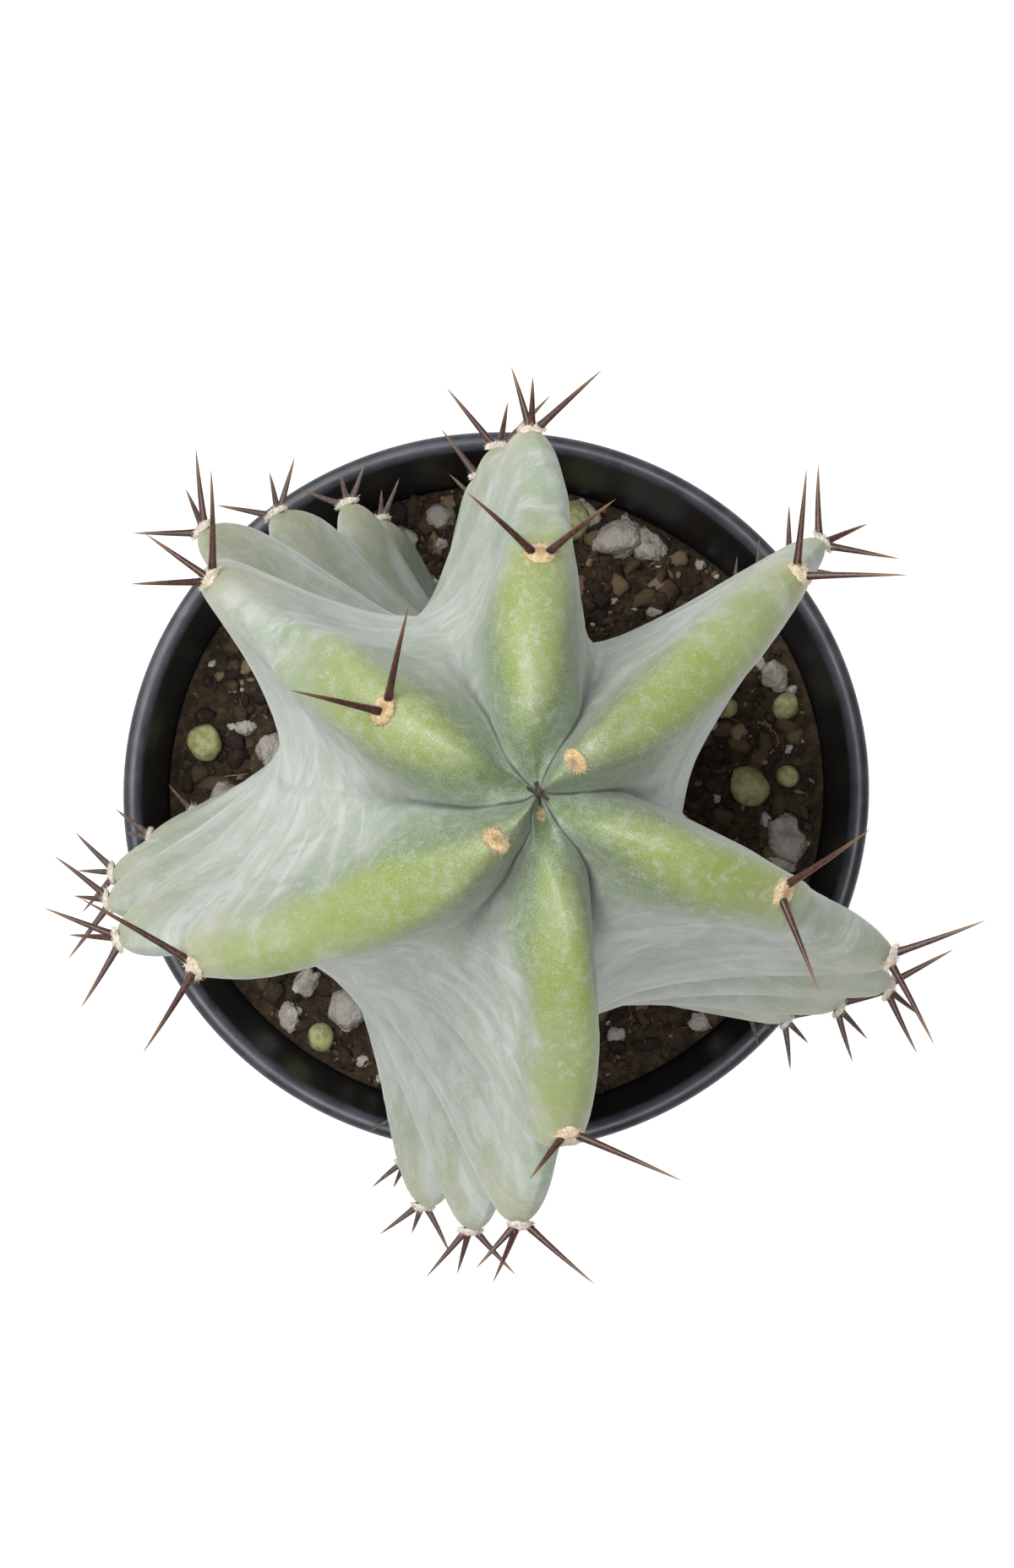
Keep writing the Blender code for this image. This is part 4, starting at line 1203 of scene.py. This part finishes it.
def skin_colour(skin, see, bare, dots):
    """Growth over bloom, dark young flanks, fingertips, tan tinge, wax, and painted shade in the
    creases.
    """
    growth = skin.layers(
        BRIGHT_GREEN, (LIGHT_GREEN, (see.patch, 0.35, 0.68)),
        (DEEP_GREEN, (see.share, 0.97, 0.7, 0.0, 0.75)), (DEEP_GREEN, (see.arc, 18.0, 4.0, 0.0, 0.7)))
    rime = skin.sum(see.dust, skin.swing(see.frost, 0.4))
    rime = skin.sum(rime, skin.ramp(see.share, 0.95, 0.35, 0.0, 0.1))
    rime = skin.sum(rime, skin.ramp(see.arc, 40.0, 6.0, 0.0, 0.05))
    return skin.layers(
        skin_bloom(skin, see),
        (growth, bare),
        (DARK_GREEN, (see.share, 0.5, 0.1), (see.arc, 36.0, 8.0), (see.patch, 0.35, 0.65, 0.1, 0.65)),
        (TIP_GREEN, (see.near, 8.5, 2.0), (see.share, 0.35, 0.85), (see.arc, 48.0, 70.0),
         (see.patch, 0.3, 0.65, 0.45, 0.95)),
        (RIDGE_TAN, (see.near, 9.0, 1.5), (see.share, 0.6, 0.97), (see.arc, 30.0, 60.0, 0.15, 0.6),
         (see.frost, 0.3, 0.62, 0.35, 1.0)),
        (BLOOM_PALE, (rime, 0.47, 0.76), 0.55),
        (WAX_WHITE, dots),
        (BLOOM_WHITE, (see.frost, 0.50, 0.72), (see.cloud, 0.4, 0.6, 0.12, 0.4),
         (see.grain, 0.35, 0.65, 0.4, 1.0)),
        # Painted shade: the creases between the young lobes darkened where shade falls.
        (CREASE_SHADE, (see.share, 0.16, 0.01), (see.arc, 46.0, 14.0), 0.9),
        (PIT_BROWN, (see.arc, 0.8, 0.6)))


def skin_material():
    """Waxy skin: yellow-green new growth on the ridges, pale granular bloom down the flanks."""
    skin = Nodes("cactus_skin")
    see = skin_patterns(skin)
    bare = skin_bareness(skin, see)
    dots = skin.product((see.cells, 0.46, 0.3), (see.frost, 0.36, 0.62, 0.2, 1.0),
                        (see.arc, 10.0, 80.0, 0.7, 0.2))
    rough = skin.sum(skin.times(bare, -0.16), 0.6)
    rough = skin.sum(rough, skin.swing(see.grain, 0.25))
    relief = skin.bump(skin.times(see.streak, see.lined), 0.3, 0.4)
    relief = skin.bump(skin.sum(see.grain, dots), 0.45, 0.08, relief)
    return skin.finish(skin_colour(skin, see, bare, dots), rough, Normal=relief,
                       Subsurface_Weight=0.08, Subsurface_Radius=SKIN_DEPTH, Subsurface_Scale=0.3,
                       Sheen_Weight=0.12, Sheen_Roughness=0.5, Specular_IOR_Level=0.42)


def felt_material():
    """Areole felt: cream-orange when young, bleached and dirty when old."""
    felt = Nodes("areole_wool")
    age = felt.trait("age")
    tufts = felt.noise(felt.place(), 3.6, 3.0, 0.7)
    young = felt.layers(FELT_ORANGE, (FELT_CREAM, (tufts, 0.35, 0.65)))
    old = felt.layers(FELT_GREY, (FELT_WHITE, (tufts, 0.35, 0.65)))
    colour = felt.layers(young, (old, (age, 0.12, 0.42)),
                         (FELT_CORE, (felt.trait("depth"), 0.38, 0.1), (age, 0.3, 0.2), 0.85))
    return felt.finish(colour, 0.95, Normal=felt.bump(tufts, 0.6, 0.15), Sheen_Weight=0.5,
                       Sheen_Roughness=0.6)


def spine_material():
    """Hard spines: dark at the root, red-brown shaft, golden tip, greyer with age."""
    spine = Nodes("spine_horn")
    along = spine.trait("along")
    age = spine.trait("age")
    grain = spine.noise(spine.place((1.0, 1.0, 0.4)), 2.6, 3.0, 0.6)
    worn = spine.layers(SPINE_GREY, (SPINE_DARK, (grain, 0.35, 0.7)))
    colour = spine.layers(SPINE_DARK, (SPINE_RED, (grain, 0.3, 0.7)),
                          (SPINE_GOLD, (along, 0.45, 0.95)),
                          (SPINE_ROOT, (along, 0.12, 0.0, 0.0, 0.7)),
                          (worn, (age, 0.4, 0.95, 0.0, 0.75)))
    relief = spine.bump(grain, 0.3, 0.04)
    return spine.finish(colour, spine.ramp(age, 0.2, 0.9, 0.36, 0.62), Normal=relief,
                        Specular_IOR_Level=0.5)


def pot_material():
    """Black nursery plastic: satin, dusty on the lip and inside, faint moulding rings; the lip's top
    is lighter with dust and a painted sheen.
    """
    pot = Nodes("black_plastic")
    place = pot.place()
    height = pot.make("ShaderNodeSeparateXYZ", "Z", {"Vector": place})
    dust = pot.noise(place, 0.25, 5.0, 0.6)
    scuff = pot.noise(pot.place((0.12, 0.12, 2.2)), 1.0, 4.0, 0.6)
    fine = pot.noise(place, 5.0, 3.0, 0.6)
    rings = pot.noise(pot.place((0.01, 0.01, 1.6)), 1.0, 2.0, 0.5)
    colour = pot.layers(
        PLASTIC_BLACK, (PLASTIC_DUSTY, (dust, 0.4, 0.75, 0.0, 0.6)),
        # The lip's top band: partly dust, partly a painted sheen.
        (LIP_DUST_AND_SHEEN, (height, POT_HEIGHT - 3.5, POT_HEIGHT - 0.5), (dust, 0.3, 0.7, 0.35, 0.9)),
        (PLASTIC_SCUFF, (scuff, 0.62, 0.8, 0.0, 0.35)))
    rough = pot.sum(pot.sum(pot.swing(scuff, 0.3), 0.42), pot.swing(fine, 0.15))
    relief = pot.bump(fine, 0.25, 0.04, pot.bump(rings, 0.2, 0.3))
    return pot.finish(colour, rough, Normal=relief, Specular_IOR_Level=0.45)


def mix_material():
    """Damp peat: near black, with brown crumbs and stray pale grit."""
    peat = Nodes("potting_mix")
    place = peat.place()
    clump = peat.noise(place, 0.5, 6.0, 0.7)
    grit = peat.noise(place, 2.4, 4.0, 0.75)
    moss = peat.noise(place, 0.13, 4.0, 0.6)
    colour = peat.layers(PEAT_DARK, (PEAT_BROWN, (clump, 0.35, 0.68)),
                         (PEAT_TAN, (grit, 0.6, 0.78, 0.0, 0.8)),
                         (PEAT_MOSS, (moss, 0.58, 0.75, 0.0, 0.4)))
    relief = peat.bump(grit, 0.8, 0.35, peat.bump(clump, 0.8, 1.0))
    return peat.finish(colour, 0.92, Normal=relief, Specular_IOR_Level=0.25)


def crumb_material():
    """Peat crumbs and bark bits, each its own brown."""
    crumb = Nodes("peat_crumb")
    tone = crumb.trait("tone")
    fleck = crumb.noise(crumb.place(), 1.8, 5.0, 0.7)
    colour = crumb.layers(PEAT_DARK, (PEAT_BROWN, (tone, 0.2, 0.75)), (PEAT_TAN, (tone, 0.78, 0.98)),
                          (PEAT_TAN, (fleck, 0.55, 0.75, 0.0, 0.7)))
    return crumb.finish(colour, 0.9, Normal=crumb.bump(fleck, 0.8, 0.3), Specular_IOR_Level=0.3)


def perlite_material():
    """Perlite: chalky, pitted, stained by the mix around it."""
    stone = Nodes("perlite_stone")
    place = stone.place()
    pits = stone.cells(place, 1.6)
    colour = stone.layers(PERLITE_WHITE,
                          (PERLITE_STAIN, (stone.noise(place, 0.35, 5.0, 0.65), 0.42, 0.72)),
                          (PERLITE_PIT, (pits, 0.3, 0.1, 0.0, 0.5)))
    return stone.finish(colour, 0.9, Normal=stone.bump(pits, 0.7, 0.3))


def pellet_material():
    """Yellow-green pellets: matte, mottled, each a little browner or greener."""
    pellet = Nodes("green_pellet")
    mottle = pellet.noise(pellet.place(), 0.8, 5.0, 0.65)
    colour = pellet.layers(PELLET_GREEN, (PELLET_YELLOW, (mottle, 0.35, 0.65)),
                           (PEAT_MOSS, pellet.trait("tone"), 0.3))
    return pellet.finish(colour, 0.72, Normal=pellet.bump(mottle, 0.6, 0.3))


def fibre_material():
    """Strands from brown to straw, flecked with peat."""
    fibre = Nodes("root_fibre")
    flecks = fibre.noise(fibre.place(), 2.0, 3.0, 0.6)
    colour = fibre.layers(FIBRE_BROWN, (FIBRE_TAN, fibre.trait("tone")),
                          (PEAT_DARK, (flecks, 0.4, 0.7), 0.6))
    return fibre.finish(colour, 0.85, Normal=fibre.bump(flecks, 0.4, 0.05))


def floor_material():
    """Plain near-white table."""
    table = Nodes("studio_floor")
    return table.finish(FLOOR_GREY, 0.9, Specular_IOR_Level=0.1, Emission_Color=WHITE,
                        Emission_Strength=FLOOR_GLOW)


def build_floor():
    half = FLOOR_HALF_WIDTH
    mesh = bpy.data.meshes.new("studio_floor")
    mesh.from_pydata([(-half, -half, 0), (half, -half, 0), (half, half, 0), (-half, half, 0)], [],
                     [(0, 1, 2, 3)])
    floor = bpy.data.objects.new("studio_floor", mesh)
    bpy.context.scene.collection.objects.link(floor)
    mesh.materials.append(floor_material())


def add_light(name, place, size, power, colour):
    lamp = bpy.data.lights.new(name, "AREA")
    lamp.shape = "DISK"
    lamp.size = size
    lamp.energy = power
    lamp.color = colour
    item = bpy.data.objects.new(name, lamp)
    item.location = place
    aim = Vector(LIGHT_AIM) - Vector(place)
    item.rotation_euler = aim.to_track_quat("-Z", "Y").to_euler()
    bpy.context.scene.collection.objects.link(item)


def build_lights():
    for light in LIGHTS:
        add_light(*light)
    world = bpy.data.worlds.new("studio")
    world.use_nodes = True
    background = world.node_tree.nodes["Background"]
    background.inputs["Color"].default_value = (*WHITE, 1.0)
    background.inputs["Strength"].default_value = WORLD_STRENGTH
    bpy.context.scene.world = world
    bpy.context.scene.view_settings.view_transform = "Standard"


def build_camera():
    """Straight above the plant, the photograph's top towards +Y."""
    lens = bpy.data.cameras.new("camera")
    lens.sensor_fit = "VERTICAL"
    lens.sensor_height = SENSOR_HEIGHT
    lens.lens = FOCAL_PX / FRAME_HEIGHT_PX * SENSOR_HEIGHT
    lens.clip_start, lens.clip_end = CLIP_RANGE
    camera = bpy.data.objects.new("camera", lens)
    camera.location = Vector(CAMERA_PLACE) * METRE
    bpy.context.scene.collection.objects.link(camera)
    bpy.context.scene.camera = camera


def dress():
    """Every visible piece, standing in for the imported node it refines."""
    cactus = [build_stem(), build_felt(), build_spines()]
    soil = [build_soil_bed(), *build_crumbs(), build_perlite(), build_pellets(), build_fibres()]
    for node, pieces in (("cactus", cactus), ("soil", soil), ("pot", [build_pot()])):
        for piece in pieces:
            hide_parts(node)


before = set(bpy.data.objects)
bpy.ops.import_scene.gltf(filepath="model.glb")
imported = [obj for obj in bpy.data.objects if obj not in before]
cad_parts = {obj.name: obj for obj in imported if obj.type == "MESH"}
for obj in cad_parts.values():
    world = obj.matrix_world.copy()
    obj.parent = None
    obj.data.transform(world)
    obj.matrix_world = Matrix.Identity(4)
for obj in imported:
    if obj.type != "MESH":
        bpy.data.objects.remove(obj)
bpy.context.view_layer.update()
build_camera()
build_lights()
build_floor()
dress()
